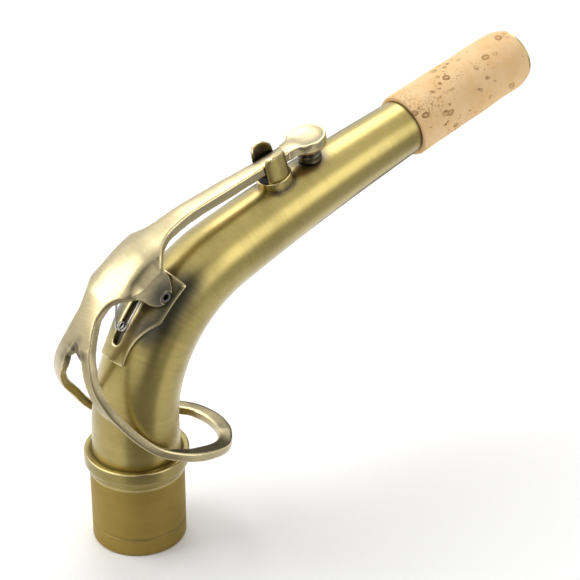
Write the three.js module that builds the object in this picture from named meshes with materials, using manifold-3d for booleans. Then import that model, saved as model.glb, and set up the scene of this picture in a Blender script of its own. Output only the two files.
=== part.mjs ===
// Alto saxophone neck with its octave key, in millimetres.
// The tenon stands on z = 0 and points down. The neck rises along +Z, bends
// forward and ends at the cork, towards +X. The key's hinge lies along Y.
import * as THREE from 'three';
import { mergeVertices } from 'three/addons/utils/BufferGeometryUtils.js';
import Module from 'manifold-3d';

const wasm = await Module();
wasm.setup();

// The neck's line, from the tenon's open end to the tip.
const STRAIGHT_RISE = 33.5;
const BEND_RADIUS = 41.3;
const BEND_ANGLE = THREE.MathUtils.degToRad(71.9);
const SLOW_BEND_RADIUS = 637;
const SLOW_BEND_ANGLE = THREE.MathUtils.degToRad(4.45);
const UPPER_RUN = 14.8;
const CORK_LENGTH = 41;

// Tube.
const TUBE_RADIUS_LOW = 11.45;
const TUBE_RADIUS_AT_CORK = 7.62;
const TUBE_RADIUS_TIP = 6.9;
const TUBE_WALL = 0.75;
const TUBE_START = 8;

// Tenon and the ring above it.
const TENON_RADIUS = 12.25;
const TENON_LENGTH = 20.2;
const TENON_LIP = 0.6;
const TENON_CHAMFER = 0.35;
const TENON_GROOVE_HEIGHT = 4.2;
const TENON_GROOVE_DEPTH = 0.18;
const COLLAR_HEIGHT = 5.4;
const COLLAR_RADIUS = 13.55;
const COLLAR_BAND = 3.3;
const COLLAR_ROUNDING = 0.55;

// Cork sleeve and the ring at the tip.
const CORK_RADIUS_LOW = 8.75;
const CORK_RADIUS_TIP = 8.5;
const CORK_ROUNDING = 0.9;
const TIP_RING_RADIUS = 7.4;
const TIP_RING_LENGTH = 1.9;
const TIP_RING_SHOWN = 0.8;
const TIP_RING_LIP = 0.5;
const TIP_RING_CHAMFER = 0.15;

// Hinge.
const HINGE_STATION = 67.05;
const HINGE_HEIGHT = 11.5;
const PIVOT_RADIUS = 0.95;
const PIVOT_HEAD_RADIUS = 1.6;
const PIVOT_HEAD_LENGTH = 0.8;
const PIVOT_SOCKET_RADIUS = 0.75;
const PIVOT_SOCKET_DEPTH = 1.2;

// Bracket: a saddle on the back of the tube, with two lugs.
const SADDLE_START = 50.7;
const SADDLE_END = 71.5;
const SADDLE_THICKNESS = 1.15;
const SADDLE_HALF_ANGLE = THREE.MathUtils.degToRad(45);
const SLOT_START = 53.9;
const SLOT_END = 66.2;
const SLOT_WIDTH = 2.8;
const LUG_THICKNESS = 1.5;
const LUG_RADIUS = 2.2;
const LUG_BASE = 5.6;

// Key body: ring, plate and arm in one casting.
const CUP_STATION = 119.1;
const KEY_STANDOFF = 25;
const KEY_THICKNESS = 2.45;
const STRAP_WIDTH = 3.9;
const RING_CLEARANCE = 1.85;
const PLATE_CROWN_RADIUS = 17;
const SHOULDER_START = 5.3;
const SHOULDER_RADIUS = 1.6;
const ARM_SLOT_RADIUS = 3;
const ARM_WIDTH_SHARE = 0.122;
const EAR_THICKNESS = 1.8;
const EAR_LENGTH = 9.6;
const EAR_DROP = 2.2;
const EAR_OUTER_FACE = 8.1;
const EAR_TOP_FIRST = 7;
const EAR_TOP_LAST = 11;
const EAR_TOP_DEPTH_SHARE = 0.1;

// Pad cup and pad.
const CUP_RADIUS = 5.2;
const CUP_HEIGHT = 2.1;
const CUP_WALL = 0.6;
const CUP_DISH = 0.35;
const CUP_DISH_SHARE = 0.75;
const CUP_ROUNDING = 0.45;
const CUP_TOP_HEIGHT = 15.2;
const PAD_THICKNESS = 1.9;
const PAD_ROUNDING = 0.3;

// Octave pip.
const PIP_BASE_RADIUS = 3.2;
const PIP_RADIUS = 2.2;
const PIP_LENGTH = 2.3;
const PIP_SHANK_RADIUS = 1.7;
const PIP_SHANK_LENGTH = 1.7;
const PIP_BORE_RADIUS = 0.9;
const PIP_CHAMFER = 0.3;

// Guide for the arm: a cup on the tube, a slotted fork in it and a felt.
const GUIDE_STATION = 106.4;
const GUIDE_RADIUS = 4.7;
const GUIDE_WALL = 0.5;
const GUIDE_RISE = 2.2;
const FORK_WALL = 0.9;
const FORK_HEIGHT = 10.1;
const FORK_FLOOR = 0.8;
const FORK_SIDE_WIDTH = 6.9;
const FORK_TOP_RISE = 2.6;
const FELT_THICKNESS = 2.5;

// Spring: a hairpin with a coil in the bracket's slot.
const WIRE_RADIUS = 0.31;
const COIL_RADIUS = 1.05;
const COIL_STATION = 57.8;
const COIL_HEIGHT = 12.1;
const COIL_PITCH = 1.06;
const LOWER_LEG_STATION = 64.4;
const LOWER_LEG_HEIGHT = 11;
const UPPER_LEG_STATION = 65.3;
const UPPER_LEG_HEIGHT = 20.75;
const EXTRA_TURNS = 2;

// Clearances, and the overrun of every cutting tool.
const SLIP = 0.1;
const SEAT = 0.3;
const SIDE_PLAY = 0.2;
const OVERRUN = 1;

// Steps of the curved surfaces.
const ROUND = 32;
const SMALL_ROUND = 24;
const BEND_STEPS = 20;
const SLOW_BEND_STEPS = 4;
const SPAN_STEPS = 4;
const ROWS_PER_POINT = 2;
const SLOT_BLEND_POINTS = 3;
const STRAP_POINTS_LEFT = 0.75;
const LINE_STEP = 0.02;
const SPRING_SIDES = 5;
const SPRING_TURN_STEPS = 8;

const BEND_LENGTH = BEND_RADIUS * BEND_ANGLE;
const SLOW_BEND_LENGTH = SLOW_BEND_RADIUS * SLOW_BEND_ANGLE;
const CORK_START = STRAIGHT_RISE + BEND_LENGTH + SLOW_BEND_LENGTH + UPPER_RUN;
const NECK_END = CORK_START + CORK_LENGTH + TIP_RING_SHOWN;
const TAPER_START = TENON_LENGTH + COLLAR_HEIGHT;
const RING_HALF_WIDTH = TUBE_RADIUS_LOW + STRAP_WIDTH + RING_CLEARANCE;

// Where a station of the neck line lies: its point and its lean from upright.
function neckLineAt(station) {
  const first = THREE.MathUtils.clamp(station - STRAIGHT_RISE, 0, BEND_LENGTH);
  const second = THREE.MathUtils.clamp(station - STRAIGHT_RISE - BEND_LENGTH, 0, SLOW_BEND_LENGTH);
  const lean = first / BEND_RADIUS;
  const totalLean = lean + second / SLOW_BEND_RADIUS;
  const rise = Math.min(station, STRAIGHT_RISE);
  const run = Math.max(station - STRAIGHT_RISE - BEND_LENGTH - SLOW_BEND_LENGTH, 0);
  const x = BEND_RADIUS * (1 - Math.cos(lean))
    + SLOW_BEND_RADIUS * (Math.cos(lean) - Math.cos(totalLean))
    + run * Math.sin(totalLean);
  const z = rise
    + BEND_RADIUS * Math.sin(lean)
    + SLOW_BEND_RADIUS * (Math.sin(totalLean) - Math.sin(lean))
    + run * Math.cos(totalLean);
  return { x, z, lean: totalLean };
}

// Outer radius of the brass tube at a station.
function tubeRadiusAt(station) {
  if (station > CORK_START) {
    const share = (station - CORK_START) / (NECK_END - CORK_START);
    return THREE.MathUtils.lerp(TUBE_RADIUS_AT_CORK, TUBE_RADIUS_TIP, Math.min(share, 1));
  }
  const share = Math.max(station - TAPER_START, 0) / (CORK_START - TAPER_START);
  return THREE.MathUtils.lerp(TUBE_RADIUS_LOW, TUBE_RADIUS_AT_CORK, share);
}

// A point given by its station and its height over the neck line's back.
function neckPoint(station, height, y = 0) {
  const { x, z, lean } = neckLineAt(station);
  return new THREE.Vector3(x - height * Math.cos(lean), y, z + height * Math.sin(lean));
}

// Stations that follow the neck closely enough for a smooth bend.
function stationsBetween(start, end) {
  const bendEnd = STRAIGHT_RISE + BEND_LENGTH;
  const slowEnd = bendEnd + SLOW_BEND_LENGTH;
  const marks = [start, end, slowEnd];
  for (let i = 0; i <= BEND_STEPS; i += 1) {
    marks.push(STRAIGHT_RISE + BEND_LENGTH * i / BEND_STEPS);
  }
  for (let i = 1; i < SLOW_BEND_STEPS; i += 1) {
    marks.push(bendEnd + SLOW_BEND_LENGTH * i / SLOW_BEND_STEPS);
  }
  marks.push(CORK_START);
  return marks
    .filter((mark) => mark >= start && mark <= end)
    .sort((a, b) => a - b)
    .filter((mark, i, all) => i === 0 || mark > all[i - 1]);
}

// Shares the vertices, drops triangles without area, and turns faces outward.
function closedGeometry(source) {
  const bare = source.clone();
  bare.deleteAttribute('normal');
  bare.deleteAttribute('uv');
  const merged = mergeVertices(bare);
  const corners = merged.getIndex().array;
  const place = merged.getAttribute('position');
  const kept = [];
  const [a, b, c] = [new THREE.Vector3(), new THREE.Vector3(), new THREE.Vector3()];
  let volume = 0;
  for (let i = 0; i < corners.length; i += 3) {
    const [p, q, r] = [corners[i], corners[i + 1], corners[i + 2]];
    if (p !== q && q !== r && r !== p) {
      kept.push(p, q, r);
      a.fromBufferAttribute(place, p);
      b.fromBufferAttribute(place, q);
      c.fromBufferAttribute(place, r);
      volume += a.dot(b.cross(c));
    }
  }
  merged.setIndex(volume < 0 ? kept.reverse() : kept);
  return merged;
}

// A boolean solid from a closed geometry.
function toSolid(geometry) {
  const closed = closedGeometry(geometry);
  return new wasm.Manifold(new wasm.Mesh({
    numProp: 3,
    vertProperties: Float32Array.from(closed.getAttribute('position').array),
    triVerts: Uint32Array.from(closed.getIndex().array),
  }));
}

function toGeometry(solid) {
  const { numProp, vertProperties, triVerts } = solid.getMesh();
  const geometry = new THREE.BufferGeometry();
  const places = new Float32Array(vertProperties.length / numProp * 3);
  for (let i = 0; i < places.length; i += 1) {
    places[i] = vertProperties[Math.floor(i / 3) * numProp + i % 3];
  }
  geometry.setAttribute('position', new THREE.BufferAttribute(places, 3));
  geometry.setIndex(Array.from(triVerts));
  return geometry;
}

function cutFrom(geometry, ...tools) {
  return toGeometry(tools.reduce((rest, tool) => rest.subtract(toSolid(tool)), toSolid(geometry)));
}

function joined(geometry, ...others) {
  return toGeometry(others.reduce((sum, other) => sum.add(toSolid(other)), toSolid(geometry)));
}

function sharedBy(geometry, other) {
  return toGeometry(toSolid(geometry).intersect(toSolid(other)));
}

// Turns an outline of [radius, height] points about the Z axis.
function turned(outline, segments = ROUND) {
  const points = outline.map(([radius, height]) => new THREE.Vector2(radius, height));
  return closedGeometry(new THREE.LatheGeometry(points, segments).rotateX(Math.PI / 2));
}

// A solid from rows of points: each row is a closed loop of equal length.
function lofted(rows) {
  const perRow = rows[0].length;
  const places = rows.flat().flatMap((point) => [point.x, point.y, point.z]);
  const faces = [];
  for (let row = 0; row + 1 < rows.length; row += 1) {
    for (let i = 0; i < perRow; i += 1) {
      const next = (i + 1) % perRow;
      const [a, b] = [row * perRow + i, row * perRow + next];
      faces.push(a, b, b + perRow, a, b + perRow, a + perRow);
    }
  }
  const last = (rows.length - 1) * perRow;
  for (let i = 1; i + 1 < perRow; i += 1) {
    faces.push(0, i + 1, i, last, last + i, last + i + 1);
  }
  const geometry = new THREE.BufferGeometry();
  geometry.setAttribute('position', new THREE.Float32BufferAttribute(places, 3));
  geometry.setIndex(faces);
  return closedGeometry(geometry);
}

// A plate from a grid of points on its outer face and a matching inner face.
function plated(outerRows, innerRows) {
  return lofted(outerRows.map((outer, row) => [...outer, ...[...innerRows[row]].reverse()]));
}

// Bends a piece that was made along an upright neck onto the real neck line.
function bent(geometry) {
  const moved = geometry.clone();
  const place = moved.getAttribute('position');
  for (let i = 0; i < place.count; i += 1) {
    const point = neckPoint(place.getZ(i), -place.getX(i), place.getY(i));
    place.setXYZ(i, point.x, point.y, point.z);
  }
  return moved;
}

// Stands a piece on the neck's back: its Z points out, its X to the cork.
function stoodAt(geometry, station) {
  const { lean } = neckLineAt(station);
  const foot = neckPoint(station, 0);
  const along = new THREE.Vector3(Math.sin(lean), 0, Math.cos(lean));
  const out = new THREE.Vector3(-Math.cos(lean), 0, Math.sin(lean));
  const across = new THREE.Vector3().crossVectors(out, along);
  const place = new THREE.Matrix4().makeBasis(along, across, out).setPosition(foot);
  return geometry.clone().applyMatrix4(place);
}

// An outline in the X-Z plane, given thickness from one Y to a larger one.
function upright(points, fromY, toY) {
  const shape = new THREE.Shape(points.map((point) => new THREE.Vector2(point.x, point.z)));
  const slab = new THREE.ExtrudeGeometry(shape, { depth: toY - fromY, bevelEnabled: false });
  return slab.rotateX(Math.PI / 2).translate(0, toY, 0);
}

function barAlongY(radius, fromY, toY, centre) {
  const bar = new THREE.CylinderGeometry(radius, radius, toY - fromY, SMALL_ROUND);
  return bar.translate(centre.x, (fromY + toY) / 2, centre.z);
}

// The space that the tube takes, with the seat's gap round it.
function tubeEnvelope() {
  const outline = stationsBetween(0, CORK_START)
    .map((station) => [tubeRadiusAt(station) + SEAT, station]);
  return bent(turned([[0, 0], ...outline, [0, CORK_START]]));
}

// Neck's pieces.

function neckTube() {
  const stations = stationsBetween(TUBE_START, NECK_END - TIP_RING_LIP - SLIP);
  const outside = stations.map((station) => [tubeRadiusAt(station), station]);
  const inside = stations.map((station) => [tubeRadiusAt(station) - TUBE_WALL, station]);
  const outline = [...outside, ...inside.reverse(), outside[0]];
  const radius = PIP_SHANK_RADIUS + SEAT;
  const depth = CUP_TOP_HEIGHT;
  const pipHole = onCup(turned([[0, 0], [radius, 0], [radius, -depth], [0, -depth]], SMALL_ROUND));
  return cutFrom(bent(turned(outline)), pipHole);
}

function tenon() {
  const bore = TUBE_RADIUS_LOW - TUBE_WALL;
  const socket = TUBE_RADIUS_LOW + SLIP;
  return turned([
    [bore, 0],
    [TENON_RADIUS - TENON_CHAMFER, 0],
    [TENON_RADIUS, TENON_CHAMFER],
    [TENON_RADIUS, TENON_GROOVE_HEIGHT - TENON_GROOVE_DEPTH],
    [TENON_RADIUS - TENON_GROOVE_DEPTH, TENON_GROOVE_HEIGHT],
    [TENON_RADIUS, TENON_GROOVE_HEIGHT + TENON_GROOVE_DEPTH],
    [TENON_RADIUS, TENON_LENGTH],
    [socket, TENON_LENGTH],
    [socket, TUBE_START - SLIP],
    [bore, TUBE_START - SLIP - TENON_LIP],
    [bore, 0],
  ]);
}

function collarRing() {
  const bore = TUBE_RADIUS_LOW + SLIP;
  const foot = TENON_LENGTH + SLIP;
  const top = foot + COLLAR_HEIGHT;
  return turned([
    [bore, foot],
    [TENON_RADIUS, foot],
    [COLLAR_RADIUS - COLLAR_ROUNDING, top - COLLAR_BAND],
    [COLLAR_RADIUS, top - COLLAR_BAND + COLLAR_ROUNDING],
    [COLLAR_RADIUS, top - COLLAR_ROUNDING],
    [COLLAR_RADIUS - COLLAR_ROUNDING, top],
    [bore, top],
    [bore, foot],
  ]);
}

function neckCork() {
  const start = CORK_START + SLIP;
  const end = NECK_END - TIP_RING_SHOWN;
  const ringSeat = NECK_END - TIP_RING_LENGTH - SLIP;
  const bevel = CORK_ROUNDING / 2;
  return bent(turned([
    [tubeRadiusAt(start) + SLIP, start],
    [CORK_RADIUS_LOW - bevel, start],
    [CORK_RADIUS_LOW, start + bevel],
    [CORK_RADIUS_TIP, end - CORK_ROUNDING],
    [CORK_RADIUS_TIP - bevel, end - bevel / 2],
    [CORK_RADIUS_TIP - CORK_ROUNDING, end],
    [TIP_RING_RADIUS + SLIP, end],
    [TIP_RING_RADIUS + SLIP, ringSeat],
    [tubeRadiusAt(ringSeat) + SLIP, ringSeat],
    [tubeRadiusAt(start) + SLIP, start],
  ]));
}

function tipRing() {
  const start = NECK_END - TIP_RING_LENGTH;
  const bore = TUBE_RADIUS_TIP - TUBE_WALL;
  return bent(turned([
    [TUBE_RADIUS_TIP + SLIP * 2, start],
    [TIP_RING_RADIUS, start],
    [TIP_RING_RADIUS, NECK_END - TIP_RING_CHAMFER],
    [TIP_RING_RADIUS - TIP_RING_CHAMFER, NECK_END],
    [bore, NECK_END],
    [bore, NECK_END - TIP_RING_LIP],
    [TUBE_RADIUS_TIP + SLIP * 2, NECK_END - TIP_RING_LIP],
    [TUBE_RADIUS_TIP + SLIP * 2, start],
  ]));
}

// The guide.

const guideSurface = tubeRadiusAt(GUIDE_STATION);
const armHalfWidth = RING_HALF_WIDTH * ARM_WIDTH_SHARE;
const forkSlot = (armHalfWidth + SIDE_PLAY) * 2;
const forkRadius = GUIDE_RADIUS - GUIDE_WALL - SLIP;

function guideBase() {
  const inner = GUIDE_RADIUS - GUIDE_WALL;
  const cup = turned([
    [inner, 0],
    [GUIDE_RADIUS, 0],
    [GUIDE_RADIUS, guideSurface + GUIDE_RISE],
    [inner, guideSurface + GUIDE_RISE],
    [inner, 0],
  ], ROUND);
  return cutFrom(stoodAt(cup, GUIDE_STATION), tubeEnvelope());
}

// A slotted tube with a floor, whose two sides end in rounded tops.
function guideFork() {
  const floor = guideSurface + SEAT + FORK_FLOOR;
  const top = guideSurface + FORK_HEIGHT;
  const wall = turned([
    [0, guideSurface - OVERRUN],
    [forkRadius, guideSurface - OVERRUN],
    [forkRadius, top],
    [forkRadius - FORK_WALL, top],
    [forkRadius - FORK_WALL, floor],
    [0, floor],
  ], ROUND);
  const slot = new THREE.BoxGeometry(GUIDE_RADIUS * 2, forkSlot, FORK_HEIGHT);
  slot.translate(0, 0, floor + FORK_HEIGHT / 2);
  const side = forkSideOutline(guideSurface - OVERRUN, top);
  const slotted = sharedBy(cutFrom(wall, slot), side);
  return cutFrom(stoodAt(slotted, GUIDE_STATION), tubeEnvelope());
}

// The fork's side view: straight sides under a half ellipse.
function forkSideOutline(bottom, top) {
  const half = FORK_SIDE_WIDTH / 2;
  const points = [{ x: -forkRadius, z: bottom }, { x: forkRadius, z: bottom }];
  const shoulder = guideSurface + GUIDE_RISE;
  points.push({ x: forkRadius, z: shoulder }, { x: half, z: shoulder });
  for (let i = 0; i <= SMALL_ROUND / 2; i += 1) {
    const turn = Math.PI * i / (SMALL_ROUND / 2);
    points.push({
      x: half * Math.cos(turn),
      z: top - FORK_TOP_RISE + FORK_TOP_RISE * Math.sin(turn),
    });
  }
  points.push({ x: -half, z: shoulder }, { x: -forkRadius, z: shoulder });
  return upright(points, -GUIDE_RADIUS, GUIDE_RADIUS);
}

function guideFelt() {
  const foot = guideSurface + SEAT + FORK_FLOOR + SLIP;
  const disc = turned([
    [0, foot],
    [forkRadius - SLIP, foot],
    [forkRadius - SLIP, foot + FELT_THICKNESS],
    [0, foot + FELT_THICKNESS],
  ], SMALL_ROUND);
  const strip = new THREE.BoxGeometry(GUIDE_RADIUS * 2, forkSlot - SIDE_PLAY * 2, FORK_HEIGHT * 2);
  return stoodAt(sharedBy(disc, strip.translate(0, 0, foot)), GUIDE_STATION);
}

// The bracket.

const hinge = neckPoint(HINGE_STATION, HINGE_HEIGHT);
const lugOuterFace = EAR_OUTER_FACE - EAR_THICKNESS - SIDE_PLAY;

// Half of the saddle's angle at its stations: a narrow tail, then the wings.
const saddleOutlineShares = [
  [0, 0.51], [0.13, 0.51], [0.25, 0.58], [0.37, 0.71], [0.47, 0.86], [0.54, 1], [1, 1],
];

function saddleAngleAt(share) {
  const next = saddleOutlineShares.findIndex(([mark]) => mark >= share && mark > 0);
  const [fromMark, fromAngle] = saddleOutlineShares[next - 1];
  const [toMark, toAngle] = saddleOutlineShares[next];
  const along = (share - fromMark) / (toMark - fromMark);
  return SADDLE_HALF_ANGLE * THREE.MathUtils.lerp(fromAngle, toAngle, along);
}

// The saddle hugs the tube: rows along the neck, columns round it.
function saddle() {
  const span = SADDLE_END - SADDLE_START;
  const rows = SPAN_STEPS * 4;
  const columns = SPAN_STEPS * 3;
  const marks = saddleOutlineShares.map(([mark]) => mark);
  for (let row = 0; row <= rows; row += 1) {
    marks.push(row / rows);
  }
  const ordered = [...new Set(marks)].sort((a, b) => a - b);
  const face = (rise) => ordered.map((mark) => {
    const station = SADDLE_START + span * mark;
    const radius = tubeRadiusAt(station) + SEAT + rise;
    const half = saddleAngleAt(mark);
    return Array.from({ length: columns + 1 }, (_, column) => {
      const angle = half * (2 * column / columns - 1);
      return new THREE.Vector3(-radius * Math.cos(angle), radius * Math.sin(angle), station);
    });
  });
  return plated(face(SADDLE_THICKNESS), face(0));
}

// A long hole with round ends through the saddle's crest.
function saddleSlot() {
  const radius = SLOT_WIDTH / 2;
  const depth = TUBE_RADIUS_LOW + SADDLE_THICKNESS + OVERRUN;
  const shape = new THREE.Shape();
  shape.absarc(0, SLOT_START + radius, radius, Math.PI, 2 * Math.PI);
  shape.absarc(0, SLOT_END - radius, radius, 0, Math.PI);
  const settings = { depth, bevelEnabled: false, curveSegments: SMALL_ROUND / 4 };
  const slot = new THREE.ExtrudeGeometry(shape, settings);
  return slot.rotateX(Math.PI / 2).rotateZ(-Math.PI / 2);
}

// A lug: a round boss about the hinge on a web that stands on the saddle.
function lug(side) {
  const foot = tubeRadiusAt(HINGE_STATION) * Math.cos(SADDLE_HALF_ANGLE);
  const inner = lugOuterFace - LUG_THICKNESS;
  const boss = barAlongY(LUG_RADIUS, inner, lugOuterFace, hinge);
  const web = upright([
    neckPoint(HINGE_STATION + LUG_BASE / 2, foot),
    neckPoint(HINGE_STATION + LUG_RADIUS, HINGE_HEIGHT),
    neckPoint(HINGE_STATION - LUG_RADIUS, HINGE_HEIGHT),
    neckPoint(HINGE_STATION - LUG_BASE / 2, foot),
  ], inner, lugOuterFace);
  const whole = joined(boss, web);
  return side > 0 ? whole : whole.scale(1, -1, 1);
}

// Scallops in the saddle leave the key's ears room to turn about the hinge.
function hingeBracket() {
  const scallops = [-EAR_OUTER_FACE - OVERRUN, lugOuterFace].map((from) => (
    barAlongY(EAR_DROP + SLIP, from, from + EAR_OUTER_FACE + OVERRUN - lugOuterFace, hinge)
  ));
  const plate = cutFrom(bent(cutFrom(saddle(), saddleSlot())), ...scallops);
  const lugs = [1, -1].map((side) => cutFrom(lug(side), tubeEnvelope()));
  const bore = barAlongY(PIVOT_RADIUS + SLIP, -EAR_OUTER_FACE, EAR_OUTER_FACE, hinge);
  return cutFrom(joined(plate, ...lugs), bore);
}

// A pivot screw: a socket head let into the key's ear, a shank in the lug.
function pivotScrew(side) {
  const face = EAR_OUTER_FACE - SLIP;
  const tip = lugOuterFace - LUG_THICKNESS;
  const screw = turned([
    [0, face - PIVOT_SOCKET_DEPTH],
    [PIVOT_SOCKET_RADIUS, face - PIVOT_SOCKET_DEPTH],
    [PIVOT_SOCKET_RADIUS, face],
    [PIVOT_HEAD_RADIUS, face],
    [PIVOT_HEAD_RADIUS, face - PIVOT_HEAD_LENGTH],
    [PIVOT_RADIUS, face - PIVOT_HEAD_LENGTH],
    [PIVOT_RADIUS, tip],
    [0, tip],
  ], SMALL_ROUND);
  return screw.rotateX(-side * Math.PI / 2).translate(hinge.x, 0, hinge.z);
}

// The key.

// Points of the key's outer face: shares of the cup's station, of the key's
// standoff and of the ring's half width, from the ring's front to its waist.
const ringLineShares = [
  [0.191, -1.068, 0], [0.192, -0.984, 0.477], [0.196, -0.764, 0.82], [0.22, -0.372, 0.994],
  [0.238, -0.108, 0.942], [0.264, 0.132, 0.831], [0.301, 0.331, 0.744], [0.335, 0.518, 0.68],
  [0.366, 0.702, 0.634], [0.398, 0.857, 0.517], [0.433, 0.938, 0.384], [0.47, 0.967, 0.262],
];

// The same from beside the slot's top, over the plate and along the arm.
const plateLineShares = [
  [0.418, 0.972, 0.44], [0.437, 0.983, 0.36], [0.47, 0.985, 0.255], [0.486, 0.985, 0.222],
  [0.5, 0.985, 0.235], [0.514, 0.984, 0.281], [0.524, 0.974, 0.345], [0.537, 0.958, 0.458],
  [0.558, 0.94, 0.48], [0.577, 0.921, 0.48], [0.59, 0.905, 0.48], [0.599, 0.889, 0.455],
  [0.61, 0.867, 0.383], [0.622, 0.842, 0.28], [0.637, 0.82, 0.206], [0.657, 0.8, 0.178],
  [0.683, 0.775, 0.158], [0.776, 0.707, 0.145], [0.843, 0.671, 0.125],
  [0.901, 0.65, ARM_WIDTH_SHARE], [0.952, 0.638, 0.128],
];

// Width of the strap at the ring line's points, and the plate's thickness.
const strapWidthShares = [1, 1, 1, 1.05, 0.87, 0.5, 0.54, 0.74, 0.95, 1, 1.05, 1.05];
const plateThicknessShares = [
  1, 1, 1, 0.95, 0.9, 0.85, 0.82, 0.82, 0.82, 0.82, 0.82,
  0.82, 0.85, 0.9, 1, 1.1, 1.18, 1.18, 1.18, 1.18, 1.18,
];

// How much of the shoulders' fall the plate has at the plate line's points.
const shoulderShares = [
  0, 0, 0, 0, 0, 0, 0, 0.3, 0.95, 1, 1, 0.8, 0.25, 0, 0, 0, 0, 0, 0, 0, 0,
];

function keyPoint([stationShare, heightShare, widthShare]) {
  return neckPoint(CUP_STATION * stationShare, KEY_STANDOFF * heightShare, RING_HALF_WIDTH * widthShare);
}

// A smooth line through the points of a table, read by the point's number.
// Before the first point it goes on to the second one's mirror image.
function tableLine(shares) {
  const [station, height, width] = shares[1];
  const edge = new THREE.CatmullRomCurve3([[station, height, -width], ...shares].map(keyPoint));
  const last = shares.length - 1;
  return {
    last,
    at: (number) => edge.getPoint((number + 1) / (last + 1)),
    heading: (number) => {
      const flat = edge.getTangent((number + 1) / (last + 1)).setY(0);
      return flat.normalize();
    },
  };
}

function valueAt(values, number) {
  const low = Math.min(Math.floor(number), values.length - 2);
  return THREE.MathUtils.lerp(values[low], values[low + 1], number - low);
}

// From the outer face inward, square to the line's heading.
function inward(heading) {
  return new THREE.Vector3(heading.z, 0, -heading.x);
}

// One corner loop of the strap at a place on its outer edge.
function strapSection(line, number, side) {
  const at = line.at(number);
  const ahead = line.at(Math.min(number + LINE_STEP, line.last));
  const behind = line.at(number - LINE_STEP);
  const heading = line.heading(Math.max(number, LINE_STEP));
  const depth = inward(heading).multiplyScalar(KEY_THICKNESS);
  const along = ahead.clone().sub(behind);
  const forward = along.dot(heading);
  const length = Math.hypot(forward, along.y);
  const width = STRAP_WIDTH * valueAt(strapWidthShares, number);
  const inner = at.clone().addScaledVector(heading, width * along.y / length);
  inner.y = at.y - width * forward / length;
  const corners = [at, inner, inner.clone().add(depth), at.clone().add(depth)];
  return corners.map((corner) => corner.setY(corner.y * side));
}

// The strap runs from the waist down one side, round the front and back up.
function keyStrap() {
  const line = tableLine(ringLineShares);
  const end = line.last - STRAP_POINTS_LEFT;
  const steps = Math.round(end * SPAN_STEPS);
  const half = Array.from({ length: steps + 1 }, (_, i) => end * i / steps);
  const near = half.slice(1).reverse().map((number) => strapSection(line, number, -1));
  const far = half.map((number) => strapSection(line, number, 1));
  return lofted([...near, ...far]);
}

// A point of the plate: across it the plate falls away from its crown, and
// beside the ears its shoulders turn down further.
function platePoint(line, number, across, depthShare) {
  const crown = line.at(number);
  const heading = line.heading(number);
  const y = crown.y * across;
  const thickness = KEY_THICKNESS * valueAt(plateThicknessShares, number);
  const beyond = Math.max(Math.abs(y) - SHOULDER_START, 0);
  const shoulder = valueAt(shoulderShares, number) * beyond * beyond / (2 * SHOULDER_RADIUS);
  const fall = y * y / (2 * PLATE_CROWN_RADIUS) + shoulder + thickness * depthShare;
  return crown.setY(y).addScaledVector(inward(heading), fall);
}

const plateLine = tableLine(plateLineShares);

// The plate starts at the slot between the arms. The slot's top is rounded,
// by an arch that fades out over the line's first points.
function keyPlate() {
  const columns = SPAN_STEPS * 4;
  const steps = plateLine.last * ROWS_PER_POINT;
  const slotShare = ARM_SLOT_RADIUS / plateLine.at(0).y;
  const face = (depthShare) => Array.from({ length: steps + 1 }, (_, i) => (
    Array.from({ length: columns + 1 }, (__, column) => {
      const across = 2 * column / columns - 1;
      const arch = Math.sqrt(Math.max(1 - (across / slotShare) ** 2, 0));
      const number = i / ROWS_PER_POINT;
      const lift = arch * Math.max(1 - number / SLOT_BLEND_POINTS, 0);
      return platePoint(plateLine, number + lift, across, depthShare);
    })
  ));
  return plated(face(0), face(1));
}

// The ear's edge about the hinge, along the neck and out from it: shares of
// the ear's length and of its drop.
const earEdgeShares = [
  [-0.536, 3.87], [-0.435, 2.63], [-0.44, 1.4], [-0.346, 0.12],
  [-0.158, -0.73], [0.058, -0.75], [0.235, -0.41], [0.487, 1.29],
];

function ear(side) {
  const { lean } = neckLineAt(HINGE_STATION);
  const lower = earEdgeShares.map(([lengthShare, dropShare]) => {
    const [along, out] = [EAR_LENGTH * lengthShare, EAR_DROP * dropShare];
    const x = hinge.x + along * Math.sin(lean) - out * Math.cos(lean);
    const z = hinge.z + along * Math.cos(lean) + out * Math.sin(lean);
    return { x, z };
  });
  const upper = [];
  for (let number = EAR_TOP_LAST; number >= EAR_TOP_FIRST; number -= 1) {
    const crown = plateLine.at(number);
    upper.push(platePoint(plateLine, number, EAR_OUTER_FACE / crown.y, EAR_TOP_DEPTH_SHARE));
  }
  const inner = EAR_OUTER_FACE - EAR_THICKNESS;
  const plate = upright([...lower, ...upper], inner, EAR_OUTER_FACE);
  return side > 0 ? plate : closedGeometry(plate).scale(1, -1, 1);
}

function keyBody() {
  const head = PIVOT_HEAD_RADIUS + SLIP;
  const headFloor = EAR_OUTER_FACE - PIVOT_HEAD_LENGTH - SLIP * 2;
  const bores = [
    barAlongY(PIVOT_RADIUS + SLIP, -EAR_OUTER_FACE - OVERRUN, EAR_OUTER_FACE + OVERRUN, hinge),
    barAlongY(head, headFloor, EAR_OUTER_FACE + OVERRUN, hinge),
    barAlongY(head, -EAR_OUTER_FACE - OVERRUN, -headFloor, hinge),
  ];
  return cutFrom(joined(keyPlate(), keyStrap(), ear(1), ear(-1)), ...bores);
}

// Pad cup and pad.

// The cup lies in line with the arm's last stretch.
const armEnd = plateLine.at(plateLine.last).setY(0);
const armHeading = plateLine.heading(plateLine.last);

function onCup(geometry) {
  const out = inward(armHeading).negate();
  const centre = armEnd.clone().addScaledVector(armHeading, CUP_RADIUS + SLIP);
  const across = new THREE.Vector3().crossVectors(out, armHeading);
  return geometry.applyMatrix4(new THREE.Matrix4().makeBasis(armHeading, across, out).setPosition(centre));
}

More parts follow.
